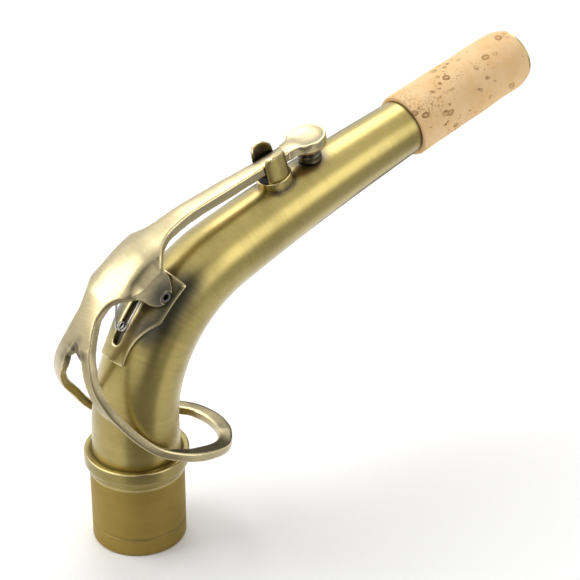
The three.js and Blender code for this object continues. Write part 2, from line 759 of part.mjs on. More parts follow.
function padCup() {
  const seat = -CUP_HEIGHT;
  const recess = -CUP_WALL;
  return onCup(turned([
    [0, -CUP_DISH],
    [CUP_RADIUS / 2, -CUP_DISH * CUP_DISH_SHARE],
    [CUP_RADIUS - CUP_ROUNDING, 0],
    [CUP_RADIUS, -CUP_ROUNDING],
    [CUP_RADIUS, seat + CUP_ROUNDING / 2],
    [CUP_RADIUS - CUP_ROUNDING / 2, seat],
    [CUP_RADIUS - CUP_WALL, seat],
    [CUP_RADIUS - CUP_WALL, recess - CUP_DISH],
    [0, recess - CUP_DISH],
  ], ROUND));
}

const padBack = -CUP_WALL - CUP_DISH - SLIP;
const padFace = padBack - PAD_THICKNESS;

function octavePad() {
  const radius = CUP_RADIUS - CUP_WALL - SLIP;
  return onCup(turned([
    [0, padBack],
    [radius, padBack],
    [radius, padFace + PAD_ROUNDING],
    [radius - PAD_ROUNDING, padFace],
    [0, padFace],
  ], ROUND));
}

// The pip stands in the hole of the tube, square to the pad that closes it.
function octavePip() {
  const top = padFace - SEAT;
  const flange = top - PIP_LENGTH;
  const shank = onCup(turned([
    [PIP_BORE_RADIUS, flange - PIP_SHANK_LENGTH],
    [PIP_SHANK_RADIUS, flange - PIP_SHANK_LENGTH],
    [PIP_SHANK_RADIUS, flange],
    [PIP_BORE_RADIUS, flange],
    [PIP_BORE_RADIUS, flange - PIP_SHANK_LENGTH],
  ], SMALL_ROUND));
  const nipple = onCup(turned([
    [PIP_BORE_RADIUS, flange - PIP_SHANK_LENGTH],
    [PIP_BASE_RADIUS, flange - PIP_SHANK_LENGTH],
    [PIP_BASE_RADIUS, flange],
    [PIP_RADIUS, flange + PIP_CHAMFER],
    [PIP_RADIUS, top - PIP_CHAMFER],
    [PIP_RADIUS - PIP_CHAMFER, top],
    [PIP_BORE_RADIUS, top],
    [PIP_BORE_RADIUS, flange - PIP_SHANK_LENGTH],
  ], SMALL_ROUND));
  return joined(cutFrom(nipple, tubeEnvelope()), shank);
}

// The spring.

// The wire's line: down the slot, round the coil and up to the plate.
function springLine() {
  const centre = neckPoint(COIL_STATION, COIL_HEIGHT);
  const low = neckPoint(LOWER_LEG_STATION, LOWER_LEG_HEIGHT);
  const high = neckPoint(UPPER_LEG_STATION, UPPER_LEG_HEIGHT);
  const bearing = (end, side) => {
    const gap = end.clone().sub(centre);
    return Math.atan2(gap.z, gap.x) + side * Math.acos(COIL_RADIUS / gap.length());
  };
  const start = bearing(low, -1);
  const finish = bearing(high, 1) - EXTRA_TURNS * 2 * Math.PI;
  const turns = (start - finish) / (2 * Math.PI);
  const steps = Math.round(turns * SPRING_TURN_STEPS);
  const halfWidth = turns * COIL_PITCH / 2;
  const points = [low.setY(-halfWidth)];
  for (let i = 0; i <= steps; i += 1) {
    const angle = THREE.MathUtils.lerp(start, finish, i / steps);
    points.push(new THREE.Vector3(
      centre.x + COIL_RADIUS * Math.cos(angle),
      halfWidth * (2 * i / steps - 1),
      centre.z + COIL_RADIUS * Math.sin(angle),
    ));
  }
  points.push(high.setY(halfWidth));
  return points;
}

// The least gap between stretches of the wire that aren't neighbours.
function leastGap(points) {
  const neighbours = SPRING_TURN_STEPS / 2;
  let least = Infinity;
  for (let i = 0; i < points.length; i += 1) {
    for (let j = i + neighbours; j < points.length; j += 1) {
      least = Math.min(least, points[i].distanceTo(points[j]));
    }
  }
  return least - 2 * WIRE_RADIUS;
}

function keySpring() {
  const points = springLine();
  console.log(`key_spring least gap to itself ${leastGap(points).toFixed(2)} mm`);
  const across = new THREE.Vector3(0, 1, 0);
  const rows = points.map((point, i) => {
    const before = points[Math.max(i - 1, 0)];
    const after = points[Math.min(i + 1, points.length - 1)];
    const along = after.clone().sub(before).normalize();
    const sideways = new THREE.Vector3().crossVectors(along, across).normalize();
    const third = new THREE.Vector3().crossVectors(sideways, along);
    return Array.from({ length: SPRING_SIDES }, (_, side) => {
      const angle = 2 * Math.PI * side / SPRING_SIDES;
      return point.clone()
        .addScaledVector(sideways, WIRE_RADIUS * Math.cos(angle))
        .addScaledVector(third, WIRE_RADIUS * Math.sin(angle));
    });
  });
  return lofted(rows);
}

// Materials.

const finishes = {
  brass: { color: 0xa4935a, roughness: 0.34, metalness: 1 },
  corkTan: { color: 0xdfb27c, roughness: 0.9, metalness: 0 },
  steel: { color: 0x9a9894, roughness: 0.25, metalness: 1 },
  springSteel: { color: 0xd6d6d4, roughness: 0.2, metalness: 1 },
  felt: { color: 0x1d1b22, roughness: 1, metalness: 0 },
  leather: { color: 0x9a6a32, roughness: 0.7, metalness: 0 },
};

function piece(name, geometry, finish) {
  const mesh = new THREE.Mesh(closedGeometry(geometry), new THREE.MeshStandardMaterial(finishes[finish]));
  mesh.name = name;
  return mesh;
}

const neck = new THREE.Group();
neck.add(
  piece('neck_tube', neckTube(), 'brass'),
  piece('tenon', tenon(), 'brass'),
  piece('collar_ring', collarRing(), 'brass'),
  piece('tip_ring', tipRing(), 'brass'),
  piece('neck_cork', neckCork(), 'corkTan'),
  piece('hinge_bracket', hingeBracket(), 'brass'),
  piece('pivot_screw_near', pivotScrew(-1), 'steel'),
  piece('pivot_screw_far', pivotScrew(1), 'steel'),
  piece('octave_pip', octavePip(), 'brass'),
  piece('guide_base', guideBase(), 'brass'),
  piece('guide_fork', guideFork(), 'brass'),
  piece('guide_felt', guideFelt(), 'felt'),
  piece('key_spring', keySpring(), 'springSteel'),
);

const octaveKey = new THREE.Group();
octaveKey.add(
  piece('key_body', keyBody(), 'brass'),
  piece('pad_cup', padCup(), 'brass'),
  piece('octave_pad', octavePad(), 'leather'),
);

const group = new THREE.Group();
group.add(neck, octaveKey);

export default group;
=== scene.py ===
"""Looks of an alto saxophone neck with its octave key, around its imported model."""

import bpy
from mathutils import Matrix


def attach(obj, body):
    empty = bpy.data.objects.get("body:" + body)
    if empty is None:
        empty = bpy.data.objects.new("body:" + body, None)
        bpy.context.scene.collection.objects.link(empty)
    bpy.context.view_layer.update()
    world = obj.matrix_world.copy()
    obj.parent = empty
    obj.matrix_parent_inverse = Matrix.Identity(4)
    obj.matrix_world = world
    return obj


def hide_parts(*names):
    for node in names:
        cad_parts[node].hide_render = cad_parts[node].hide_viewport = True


bl_info = {
    "name": "Saxophone Neck",
    "version": (1, 0, 0),
    "blender": (4, 5, 0),
    "location": "3D View > Sidebar > Neck",
    "description": "Builds the brass, cork and key work of a saxophone neck",
    "category": "Add Mesh",
}

import math

import bmesh
import bpy
import numpy as np
from mathutils import Matrix, Vector

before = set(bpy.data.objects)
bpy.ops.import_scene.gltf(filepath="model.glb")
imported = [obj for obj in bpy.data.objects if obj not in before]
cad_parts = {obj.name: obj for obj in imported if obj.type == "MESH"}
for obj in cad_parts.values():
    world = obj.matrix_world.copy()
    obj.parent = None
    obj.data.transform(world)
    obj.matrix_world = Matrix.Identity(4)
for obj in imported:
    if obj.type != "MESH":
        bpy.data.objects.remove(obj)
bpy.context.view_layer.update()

MM = 0.001

# Line of the neck from the tenon's open end to the tip, in millimetres.
STRAIGHT_RISE = 33.5
BEND_RADIUS = 41.3
BEND_ANGLE = math.radians(71.9)
SLOW_BEND_RADIUS = 637.0
SLOW_BEND_ANGLE = math.radians(4.45)
UPPER_RUN = 14.8
BEND_LENGTH = BEND_RADIUS * BEND_ANGLE
SLOW_BEND_LENGTH = SLOW_BEND_RADIUS * SLOW_BEND_ANGLE
CORK_START = STRAIGHT_RISE + BEND_LENGTH + SLOW_BEND_LENGTH + UPPER_RUN
CORK_LENGTH = 41.0
TIP_RING_SHOWN = 0.8
NECK_END = CORK_START + CORK_LENGTH + TIP_RING_SHOWN
TENON_LENGTH = 20.2
COLLAR_HEIGHT = 5.4
TAPER_START = TENON_LENGTH + COLLAR_HEIGHT

# Where the tube starts inside the tenon, the tenon's groove, and how much higher the collar's bands
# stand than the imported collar's. Then the tip ring.
TUBE_START, GROOVE_HEIGHT, COLLAR_LIFT = 8.0, 5.0, 0.7
TIP_RING_RADIUS, TIP_RING_LENGTH = 7.4, 1.9

# Hinge, cup and guide on that line.
HINGE_STATION, HINGE_HEIGHT = 67.05, 11.5
CUP_STATION, KEY_STANDOFF = 119.1, 25.0
GUIDE_STATION = 106.4
EAR_INNER, EAR_OUTER = 6.3, 8.1

# Gap that stands for a soldered or pressed joint.
SEAT = 0.02

# Angles in degrees, past which two faces meet in a sharp edge.
SOFT_CREASE, KEY_CREASE = 40.0, 60.0


# Settings.

def size_setting(label, description, millimetres):
    """A length in the panel, given in millimetres and kept in metres."""
    return bpy.props.FloatProperty(name=label, description=description, default=millimetres * MM,
                                   min=0.0, precision=5, subtype="DISTANCE", unit="LENGTH")


def colour_setting(label, description, red, green, blue):
    """A colour in the panel."""
    return bpy.props.FloatVectorProperty(name=label, description=description, size=3, min=0.0, max=1.0,
                                         default=(red, green, blue), subtype="COLOR")


class NeckSizes(bpy.types.PropertyGroup):
    """Sizes of the neck's pieces."""

    tube_low: size_setting("Tube radius, low", "Outer radius of the tube above the collar", 11.45)
    tube_cork: size_setting("Tube radius, cork", "Outer radius of the tube where the cork starts", 7.62)
    tube_tip: size_setting("Tube radius, tip", "Outer radius of the tube at its tip", 6.9)
    tube_wall: size_setting("Tube wall", "Thickness of the tube", 0.75)
    tenon: size_setting("Tenon radius", "Outer radius of the tenon", 12.25)
    collar: size_setting("Collar radius", "Outer radius of the collar ring", 13.55)
    cork_low: size_setting("Cork radius, low", "Outer radius of the cork at its lower end", 8.75)
    cork_tip: size_setting("Cork radius, tip", "Outer radius of the cork at its tip", 8.5)
    saddle: size_setting("Saddle thickness", "Thickness of the bracket's saddle", 1.15)
    key: size_setting("Key thickness", "Thickness of the key's strap and plate", 2.45)
    strap: size_setting("Strap width", "Width of the ring's strap", 3.9)
    cup: size_setting("Cup radius", "Outer radius of the pad cup", 5.2)
    wire: size_setting("Wire radius", "Radius of the spring's wire", 0.31)


class NeckColours(bpy.types.PropertyGroup):
    """Colours of the neck's finishes."""

    brass: colour_setting("Brass", "Brushed, lacquered brass of the tube", 0.41, 0.32, 0.09)
    brass_shade: colour_setting("Aged brass", "Darker tone that the brass ages to", 0.31, 0.24, 0.06)
    tenon: colour_setting("Tenon brass", "Bare turned brass of the tenon", 0.33, 0.235, 0.06)
    # This brown is ageing at the joints, and also painted shade in the bracket's slot, under the key and the
    # cup, and on the guide's far wing.
    smoke: colour_setting("Smoked brass", "Brown that the brass is aged to at its joints", 0.045, 0.036, 0.02)
    # Its darker tone on the pip is painted shade under the cup.
    bracket: colour_setting("Bracket brass", "Brass of the bracket, and darker on the pip", 0.46, 0.37, 0.14)
    edge: colour_setting("Worn edge", "Bright brass where the edges have worn", 0.74, 0.62, 0.33)
    key: colour_setting("Key brass", "Satin brass of the key", 0.45, 0.375, 0.205)
    cork: colour_setting("Cork", "Light ground of the cork", 0.80, 0.56, 0.30)
    pit: colour_setting("Cork pits", "Brown of the pits in the cork", 0.34, 0.135, 0.02)
    felt: colour_setting("Felt", "Dark felt under the arm", 0.018, 0.017, 0.024)
    pad: colour_setting("Pad", "Amber skin of the pad", 0.52, 0.25, 0.06)
    steel: colour_setting("Steel", "Turned steel of the screws", 0.12, 0.11, 0.10)
    wire: colour_setting("Spring wire", "Bright drawn wire", 0.70, 0.69, 0.67)
    floor: colour_setting("Floor", "Pale floor", 0.93, 0.93, 0.93)


def size_of(name):
    """A size setting, turned from metres into millimetres."""
    return getattr(bpy.context.scene.neck_sizes, name) / MM


# The neck's line.

def neck_line(station):
    """Point and lean of the neck's centre line: straight up, then round the bend's arc, then round
    the slow arc, then straight on. On an arc of radius R the line moves R(1 - cos) forward and R sin up."""
    station = np.asarray(station, dtype=float)
    first = np.clip(station - STRAIGHT_RISE, 0, BEND_LENGTH) / BEND_RADIUS
    lean = first + np.clip(station - STRAIGHT_RISE - BEND_LENGTH, 0, SLOW_BEND_LENGTH) / SLOW_BEND_RADIUS
    run = np.maximum(station - STRAIGHT_RISE - BEND_LENGTH - SLOW_BEND_LENGTH, 0)
    x = (BEND_RADIUS * (1 - np.cos(first)) + SLOW_BEND_RADIUS * (np.cos(first) - np.cos(lean))
         + run * np.sin(lean))
    z = (np.minimum(station, STRAIGHT_RISE) + BEND_RADIUS * np.sin(first)
         + SLOW_BEND_RADIUS * (np.sin(lean) - np.sin(first)) + run * np.cos(lean))
    return x, z, lean


def neck_point(station, height, y):
    """The centre line's point moved out by height along the back's normal (-cos lean, 0, sin lean)."""
    x, z, lean = neck_line(station)
    height, y = np.asarray(height, dtype=float), np.asarray(y, dtype=float)
    return np.stack(np.broadcast_arrays(x - height * np.cos(lean), y, z + height * np.sin(lean)), axis=-1)


def tube_radius(station):
    """Outer radius of the tube: constant, then a straight taper to the cork, then one to the tip."""
    low, cork, tip = size_of("tube_low"), size_of("tube_cork"), size_of("tube_tip")
    return np.interp(station, [0, TAPER_START, CORK_START, NECK_END], [low, low, cork, tip])


def stand_at(station):
    """Frame of a piece on the neck's back: X to the cork, Y across, Z out."""
    _, _, lean = neck_line(station)
    along = Vector((math.sin(lean), 0, math.cos(lean)))
    out = Vector((-math.cos(lean), 0, math.sin(lean)))
    foot = Vector(neck_point(station, 0.0, 0.0))
    return np.array([along, out.cross(along), out, foot]).T


def hinge_axes():
    """The hinge's (x, z) point, and the directions along the neck and out of it there."""
    _, _, lean = neck_line(HINGE_STATION)
    return (neck_point(HINGE_STATION, HINGE_HEIGHT, 0.0)[[0, 2]],
            np.array([math.sin(lean), math.cos(lean)]), np.array([-math.cos(lean), math.sin(lean)]))


def placed(points, place):
    """Points times the frame's three axes, plus its foot."""
    return points @ place[:, :3].T + place[:, 3]


# Profiles and grids.

def rounded(outline, radius, steps=5):
    """A closed outline whose corners are turned into short parabolas: each corner P between A and B,
    a radius away along its sides, becomes (1-t)^2 A + 2t(1-t) P + t^2 B."""
    corners = np.asarray(outline, dtype=float)
    radii = np.broadcast_to(np.asarray(radius, dtype=float), (len(corners),))
    before, after = np.roll(corners, 1, axis=0) - corners, np.roll(corners, -1, axis=0) - corners
    length_before = np.linalg.norm(before, axis=1)
    length_after = np.linalg.norm(after, axis=1)
    reach = np.minimum(radii, 0.48 * np.minimum(length_before, length_after))
    a = corners + before * (reach / length_before)[:, None]
    b = corners + after * (reach / length_after)[:, None]
    t = np.linspace(0, 1, steps)[None, :, None]
    arcs = (1 - t) ** 2 * a[:, None] + 2 * t * (1 - t) * corners[:, None] + t ** 2 * b[:, None]
    keep = np.ones((len(corners), steps), dtype=bool)
    keep[reach <= 0, 1:] = False
    return arcs[keep]


def divided(loop, step):
    """The loop with points added so that none of its sides is longer than the step."""
    ends = np.roll(loop, -1, axis=0)
    counts = np.maximum(np.ceil(np.linalg.norm(ends - loop, axis=1) / step).astype(int), 1)
    start = np.repeat(loop, counts, axis=0)
    stride = np.repeat((ends - loop) / counts[:, None], counts, axis=0)
    index = np.arange(counts.sum()) - np.repeat(np.cumsum(counts) - counts, counts)
    return start + stride * index[:, None]


def soft_loop(outline, corners, step, steps=5):
    """The outline with rounded corners and no side longer than the step."""
    return divided(rounded(outline, corners, steps), step)


def around(count):
    """Angles at equal steps round a full turn."""
    return np.linspace(0, 2 * np.pi, count, endpoint=False)


def wrapped_map(profile, angle):
    """Map of a turned piece: the way along the profile, and the angle times the mean radius."""
    travel = np.concatenate([[0], np.cumsum(np.linalg.norm(np.diff(profile, axis=0), axis=1))])
    return np.stack(np.broadcast_arrays(travel[:, None], angle[None, :] * profile[:, 0].mean()), axis=-1)


def turned(profile, angle):
    """A profile of (radius r, height) turned about the Z axis: (r cos a, r sin a, height)."""
    radius, height = profile[:, :1], profile[:, 1:]
    return np.stack(np.broadcast_arrays(radius * np.cos(angle), radius * np.sin(angle), height), axis=-1)


def bent_turning(profile, segments=112):
    """The shape of a closed profile of (radius, station) turned about the neck's line: a point of radius r
    at angle a stands at height r cos a and y = r sin a."""
    angle = around(segments)
    radius, station = profile[:, :1], profile[:, 1:]
    grid = neck_point(station, radius * np.cos(angle), radius * np.sin(angle))
    return Shape().add(grid, surface_map=wrapped_map(profile, angle))


def turning(profile, place, segments=72):
    """The shape of a closed profile of (radius, height) turned about the Z axis of a frame."""
    angle = around(segments)
    return Shape().add(placed(turned(profile, angle), place), surface_map=wrapped_map(profile, angle))


def grid_faces(rows, columns, wrap_rows):
    """Quads of a grid whose last column joins the first, and its last row too where wanted."""
    row = np.arange(rows if wrap_rows else rows - 1)[:, None]
    column = np.arange(columns)[None, :]
    below, beside = (row + 1) % rows, (column + 1) % columns
    here, under = row * columns, below * columns
    corners = (here + column, here + beside, under + beside, under + column)
    return np.stack(np.broadcast_arrays(*corners), axis=-1).reshape(-1, 4)


class Shape:
    """Vertices, faces and a surface map, gathered from grids before they become a mesh."""

    def __init__(self):
        self.points, self.faces, self.maps, self.count = [], [], [], 0

    def add(self, grid, wrap_rows=True, surface_map=None):
        """Adds a grid of points. Without a map of its own, a point's map is (x + y, z)."""
        rows, columns = grid.shape[:2]
        self.faces.append(grid_faces(rows, columns, wrap_rows) + self.count)
        self.points.append(grid.reshape(-1, 3))
        if surface_map is None:
            surface_map = np.stack([grid[..., 0] + grid[..., 1], grid[..., 2]], axis=-1)
        self.maps.append(np.asarray(surface_map).reshape(-1, 2))
        self.count += rows * columns
        return self

    def mesh(self, name):
        """A mesh in metres with merged doubles, outward faces and soft shading."""
        points = np.concatenate(self.points) * MM
        faces = np.concatenate(self.faces)
        surface = np.concatenate(self.maps) * MM
        mesh = bpy.data.meshes.new(name)
        mesh.from_pydata(points.tolist(), [], faces.tolist())
        layer = mesh.uv_layers.new(name="surface")
        corners = np.empty(len(mesh.loops), dtype=np.int32)
        mesh.loops.foreach_get("vertex_index", corners)
        layer.data.foreach_set("uv", surface[corners].astype(np.float32).ravel())
        merge_and_turn(mesh)
        soften(mesh, SOFT_CREASE)
        return mesh


def merge_and_turn(mesh):
    """Merges doubles, takes out faces without area and turns the rest outwards."""
    work = bmesh.new()
    work.from_mesh(mesh)
    bmesh.ops.remove_doubles(work, verts=work.verts, dist=2e-6)
    bmesh.ops.dissolve_degenerate(work, edges=work.edges, dist=1e-7)
    bmesh.ops.recalc_face_normals(work, faces=work.faces)
    work.to_mesh(mesh)
    work.free()


def soften(mesh, crease):
    """Soft shading, with sharp edges where two faces meet at more than the crease angle."""
    mesh.polygons.foreach_set("use_smooth", np.ones(len(mesh.polygons), dtype=bool))
    mesh.set_sharp_from_angle(angle=math.radians(crease))
    mesh.update()


def mark_wear_and_shade(mesh):
    """Stores how far each point stands out of its neighbours, as the curvature of its edges: the mean
    of -2 d.n / d^2 over the edges d that leave it, averaged once more with the neighbours, times half a
    millimetre, between 0 and 1. The ageing and painted shade at each point is stored beside it."""
    count = len(mesh.vertices)
    place, normal = np.empty(count * 3), np.empty(count * 3)
    mesh.vertices.foreach_get("co", place)
    mesh.vertices.foreach_get("normal", normal)
    place, normal = place.reshape(-1, 3), normal.reshape(-1, 3)
    ends = np.empty(len(mesh.edges) * 2, dtype=np.int64)
    mesh.edges.foreach_get("vertices", ends)
    start, end = ends.reshape(-1, 2).T
    gap = place[end] - place[start]
    square = np.maximum((gap ** 2).sum(axis=1), 1e-14)
    degree = np.maximum(np.bincount(start, minlength=count) + np.bincount(end, minlength=count), 1)
    bend = np.bincount(start, -2 * (gap * normal[start]).sum(axis=1) / square, count)
    bend = (bend + np.bincount(end, 2 * (gap * normal[end]).sum(axis=1) / square, count)) / degree
    bend = (bend + (np.bincount(start, bend[end], count) + np.bincount(end, bend[start], count)) / degree) / 2
    store(mesh, "wear", np.clip(bend * 0.5 * MM, 0, 1))
    # Brown ageing at the joints, and painted shade in the slot, under the key and the cup and on the far
    # wing.
    store(mesh, "smoke", smoke_and_shade_at(place / MM))


def store(mesh, name, values):
    """Puts one number per point into a named attribute."""
    layer = mesh.attributes.new(name, "FLOAT", "POINT")
    layer.data.foreach_set("value", values.astype(np.float32))


def smoke_and_shade_lines():
    """Lines that the brown gathers on, each with its reach in millimetres and its depth: ageing and painted
    shade under the key round the hinge and along the bracket's edges and crest, and painted shade in its
    slot, on the wall of the slot between the key's arms and on the guide's far wing."""
    wings, crest = np.linspace(59.5, 71.5, 14), np.linspace(64.0, 71.5, 6)
    lines = []
    # Round the hinge, on the ears and along the bracket under the key: ageing and painted shade.
    for side in (-1, 1):
        spread = side * np.interp(wings, [59.5, 62.0], [0.55, 0.78])
        lines += [
            (neck_point(HINGE_STATION, HINGE_HEIGHT - 1.0, side * np.array([4.0, 6.0, 8.1, 9.4])), 6.0, 1.0),
            (neck_point(HINGE_STATION, HINGE_HEIGHT + 1.0, side * np.array([8.1, 9.6])), 7.0, 0.9),
            (neck_point(wings, 10.4 * np.cos(spread), 10.4 * np.sin(spread)), 5.5, 0.85),
            (neck_point(crest, 11.5, side * 3.5), 4.0, 0.8),
        ]
    # Painted shade in the bracket's slot.
    lines.append((neck_point(np.linspace(54.8, 68.8, 24), 10.6, 0.0), 1.9, 1.0))
    # Painted shade on the wall of the slot between the key's arms.
    plate, numbers = KeyLine(PLATE_SHARES), np.array([1.0, 1.5, 1.3, 1.1, 0.6, 0.2])
    arch = plate.at(numbers)
    arch[:, 1] = [-3.8, -1.2, -0.2, 0.8, 1.8, 2.6]
    lines.append((arch + inward(plate.heading(numbers)) * 1.5, 1.7, 0.95))
    # Painted shade on the guide's far wing.
    far_wing = np.array([[x, 4.3, guide_surface() + 6.5] for x in (-2.5, 0, 2.5)])
    lines.append((placed(far_wing, stand_at(GUIDE_STATION)), 4.5, 1.0))
    return lines


def smoke_and_shade_rings():
    """Round contacts that the brown gathers at, as a frame, the ring's radius and height in it, the reach
    and the depth: ageing at the collar, the tenon's groove, the guide's foot and the cork's edge, and
    painted shade round the pip under the cup."""
    level = np.eye(3, 4)
    lean = float(neck_line(CORK_START)[2])
    along = np.array([math.sin(lean), 0, math.cos(lean)])
    cork = np.array([np.cross([0, 1, 0], along), [0, 1, 0], along, neck_point(CORK_START, 0.0, 0.0)]).T
    return [
        (level, tube_radius(TAPER_START) + 0.1, TAPER_START - 0.1, 0.7, 0.9),
        (level, size_of("tenon"), GROOVE_HEIGHT, 0.5, 0.5),
        (stand_at(GUIDE_STATION), 4.9, guide_surface() - 0.7, 1.2, 0.75),
        # Painted shade round the pip, under the cup.
        (cup_place(), 2.4, -5.6, 3.8, 1.0),
        (cork, tube_radius(CORK_START), -0.1, 0.6, 0.8),
    ]


def faded(gap, reach, depth):
    """Ageing and painted shade at the distance d from its line or ring: the depth times exp(-(d / reach)^2).
    The gap is d^2.
    """
    return depth * np.exp(-gap / reach ** 2)


def smoke_and_shade_at(points):
    """The deepest of the ageing and painted shade at each point. A ring's distance is the root of
    (radius - its radius)^2 + (height - its height)^2 in its frame."""
    smoke = np.zeros(len(points))
    for line, reach, depth in smoke_and_shade_lines():
        for spot in line:
            gap = ((points - spot) ** 2).sum(axis=1)
            smoke = np.maximum(smoke, faded(gap, reach, depth))
    for place, radius, height, reach, depth in smoke_and_shade_rings():
        local = (points - place[:, 3]) @ place[:, :3]
        gap = (np.hypot(local[:, 0], local[:, 1]) - radius) ** 2 + (local[:, 2] - height) ** 2
        smoke = np.maximum(smoke, faded(gap, reach, depth))
    return smoke


def add_piece(name, mesh, body, material, nodes):
    """Puts a finished mesh into the scene as one piece with its finish, hangs it on its body and hides the
    nodes that it stands for.
    """
    mark_wear_and_shade(mesh)
    piece = bpy.data.objects.new(name, mesh)
    bpy.context.collection.objects.link(piece)
    mesh.materials.append(material)
    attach(piece, body)
    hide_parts(*nodes)


# Materials.

class Value:
    """A socket that can be used in sums: each operation adds a Math node."""

    def __init__(self, maker, socket):
        self.maker, self.socket = maker, socket

    def _math(self, operation, first, second):
        return self.maker.node("ShaderNodeMath", {"operation": operation}, {0: first, 1: second})

    def __add__(self, other):
        return self._math("ADD", self, other)

    def __radd__(self, other):
        return self._math("ADD", other, self)

    def __sub__(self, other):
        return self._math("SUBTRACT", self, other)

    def __rsub__(self, other):
        return self._math("SUBTRACT", other, self)

    def __mul__(self, other):
        return self._math("MULTIPLY", self, other)

    def __rmul__(self, other):
        return self._math("MULTIPLY", other, self)


class Maker:
    """Makes the nodes of one material."""

    def __init__(self, name):
        self.material = bpy.data.materials.new(name)
        self.material.use_nodes = True
        self.tree = self.material.node_tree
        self.shader = self.tree.nodes["Principled BSDF"]

    def node(self, kind, settings, inputs, output=0):
        """One node: its settings first, then the values or links of its sockets."""
        made = self.tree.nodes.new(kind)
        for key, value in settings.items():
            setattr(made, key, value)
        for key, value in inputs.items():
            self.feed(made.inputs[key], value)
        return Value(self, made.outputs[output])

    def feed(self, socket, value):
        """Links a value to a socket, or sets the socket's own value."""
        if isinstance(value, Value):
            self.tree.links.new(value.socket, socket)
        elif socket.type == "RGBA" and len(value) == 3:
            socket.default_value = (*value, 1.0)
        else:
            socket.default_value = value

    def set(self, **sockets):
        """Feeds the surface shader's sockets by name, with an underscore for each space."""
        for key, value in sockets.items():
            self.feed(self.shader.inputs[key.replace("_", " ")], value)

    def object_place(self, scale=(1, 1, 1), turn=(0, 0, 0)):
        """The place in the piece, stretched or turned."""
        where = self.node("ShaderNodeTexCoord", {}, {}, "Object")
        return self.node("ShaderNodeMapping", {}, {"Vector": where, "Scale": scale, "Rotation": turn})

    def surface_place(self, scale):
        """The place on the piece's own map, stretched."""
        where = self.node("ShaderNodeUVMap", {"uv_map": "surface"}, {})
        return self.node("ShaderNodeMapping", {}, {"Vector": where, "Scale": scale})

    def noise(self, where, scale, detail, rough):
        """A cloudy value between 0 and 1."""
        return self.node("ShaderNodeTexNoise", {}, {"Vector": where, "Scale": scale, "Detail": detail,
                                                    "Roughness": rough})

    def span(self, value, low, high, to_low=0.0, to_high=1.0):
        """The value eased from one range into another, and kept inside it."""
        ends = {"From Min": low, "From Max": high, "To Min": to_low, "To Max": to_high}
        return self.node("ShaderNodeMapRange", {"interpolation_type": "SMOOTHSTEP"}, {"Value": value, **ends})

    def mix(self, factor, first, second):
        """Two colours mixed by a factor."""
        return self.node("ShaderNodeMix", {"data_type": "RGBA"}, {0: factor, 6: first, 7: second}, 2)

    def bump(self, height, strength, distance):
        """A normal that makes the height show."""
        return self.node("ShaderNodeBump", {}, {"Height": height, "Strength": strength, "Distance": distance})


def colour_of(name):
    """A colour setting as red, green and blue."""
    return tuple(getattr(bpy.context.scene.neck_colours, name))


def shaded(name, factor):
    """A colour setting times a factor."""
    return tuple(channel * factor for channel in colour_of(name))


def brushed(name, light, dark, lines_on="surface", rough=0.30, coat=0.6, worn=0.5):
    """Satin brass between two tones, each a colour setting and its factor: fine lines across the way of
    the piece, soft cloudy ageing, small darker specks, brown ageing and painted shade where their stored
    attribute is deep, and brighter metal where the edges stand out."""
    m = Maker(name)
    light, dark = shaded(*light), shaded(*dark)
    if lines_on == "surface":
        lines = m.surface_place((1.0, 0.03, 1.0))
    else:
        lines = m.object_place((1.0, 0.06, 1.0))
    cloud = m.noise(m.object_place(), 55.0, 5.0, 0.6)
    hairs = m.noise(lines, 5200.0, 3.0, 0.7)
    broad = m.noise(lines, 900.0, 3.0, 0.6)
    specks = m.span(m.noise(m.object_place(), 900.0, 2.0, 0.5), 0.66, 0.74)
    wear = m.node("ShaderNodeAttribute", {"attribute_name": "wear"}, {}, "Fac")
    smoke = m.node("ShaderNodeAttribute", {"attribute_name": "smoke"}, {}, "Fac")
    rubbed = m.span(wear + (cloud - 0.5) * 0.3, 0.12, 0.5)
    aged = m.span(cloud + (broad - 0.5) * 0.3, 0.38, 0.68)
    # Brown ageing at the joints, and painted shade in the slot, under the key and the cup and on the guide's
    # far wing.
    smoked_and_shaded = m.span(smoke + (cloud - 0.5) * 0.25 + (broad - 0.5) * 0.15, 0.1, 0.95)
    tone = m.mix(aged, light, dark)
    tone = m.mix(specks * 0.3, tone, dark)
    tone = m.mix(smoked_and_shaded, tone, colour_of("smoke"))
    tone = m.mix(rubbed * worn, tone, colour_of("edge"))
    m.set(Base_Color=tone, Metallic=1.0,
          Roughness=rough - 0.04 + hairs * 0.10 + aged * 0.05 + smoked_and_shaded * 0.05 - rubbed * 0.06,
          Normal=m.bump(hairs + broad * 0.5, 0.12, 0.00004), Coat_Weight=coat, Coat_Roughness=0.3)
    return m.material


# Pits of the cork, from large to fine: scale, size in their cell, scale of the patches that they gather
# in, the patches' low and high limit, strength, and how much they keep to the lower end.
CORK_PITS = (
    (230.0, 0.24, 95.0, 0.47, 0.51, 0.9, 0.3),
    (360.0, 0.24, 120.0, 0.49, 0.53, 0.85, 0.6),
    (800.0, 0.30, 170.0, 0.53, 0.60, 0.8, 1.0),
    (1500.0, 0.34, 150.0, 0.50, 0.60, 0.7, 1.0),
)


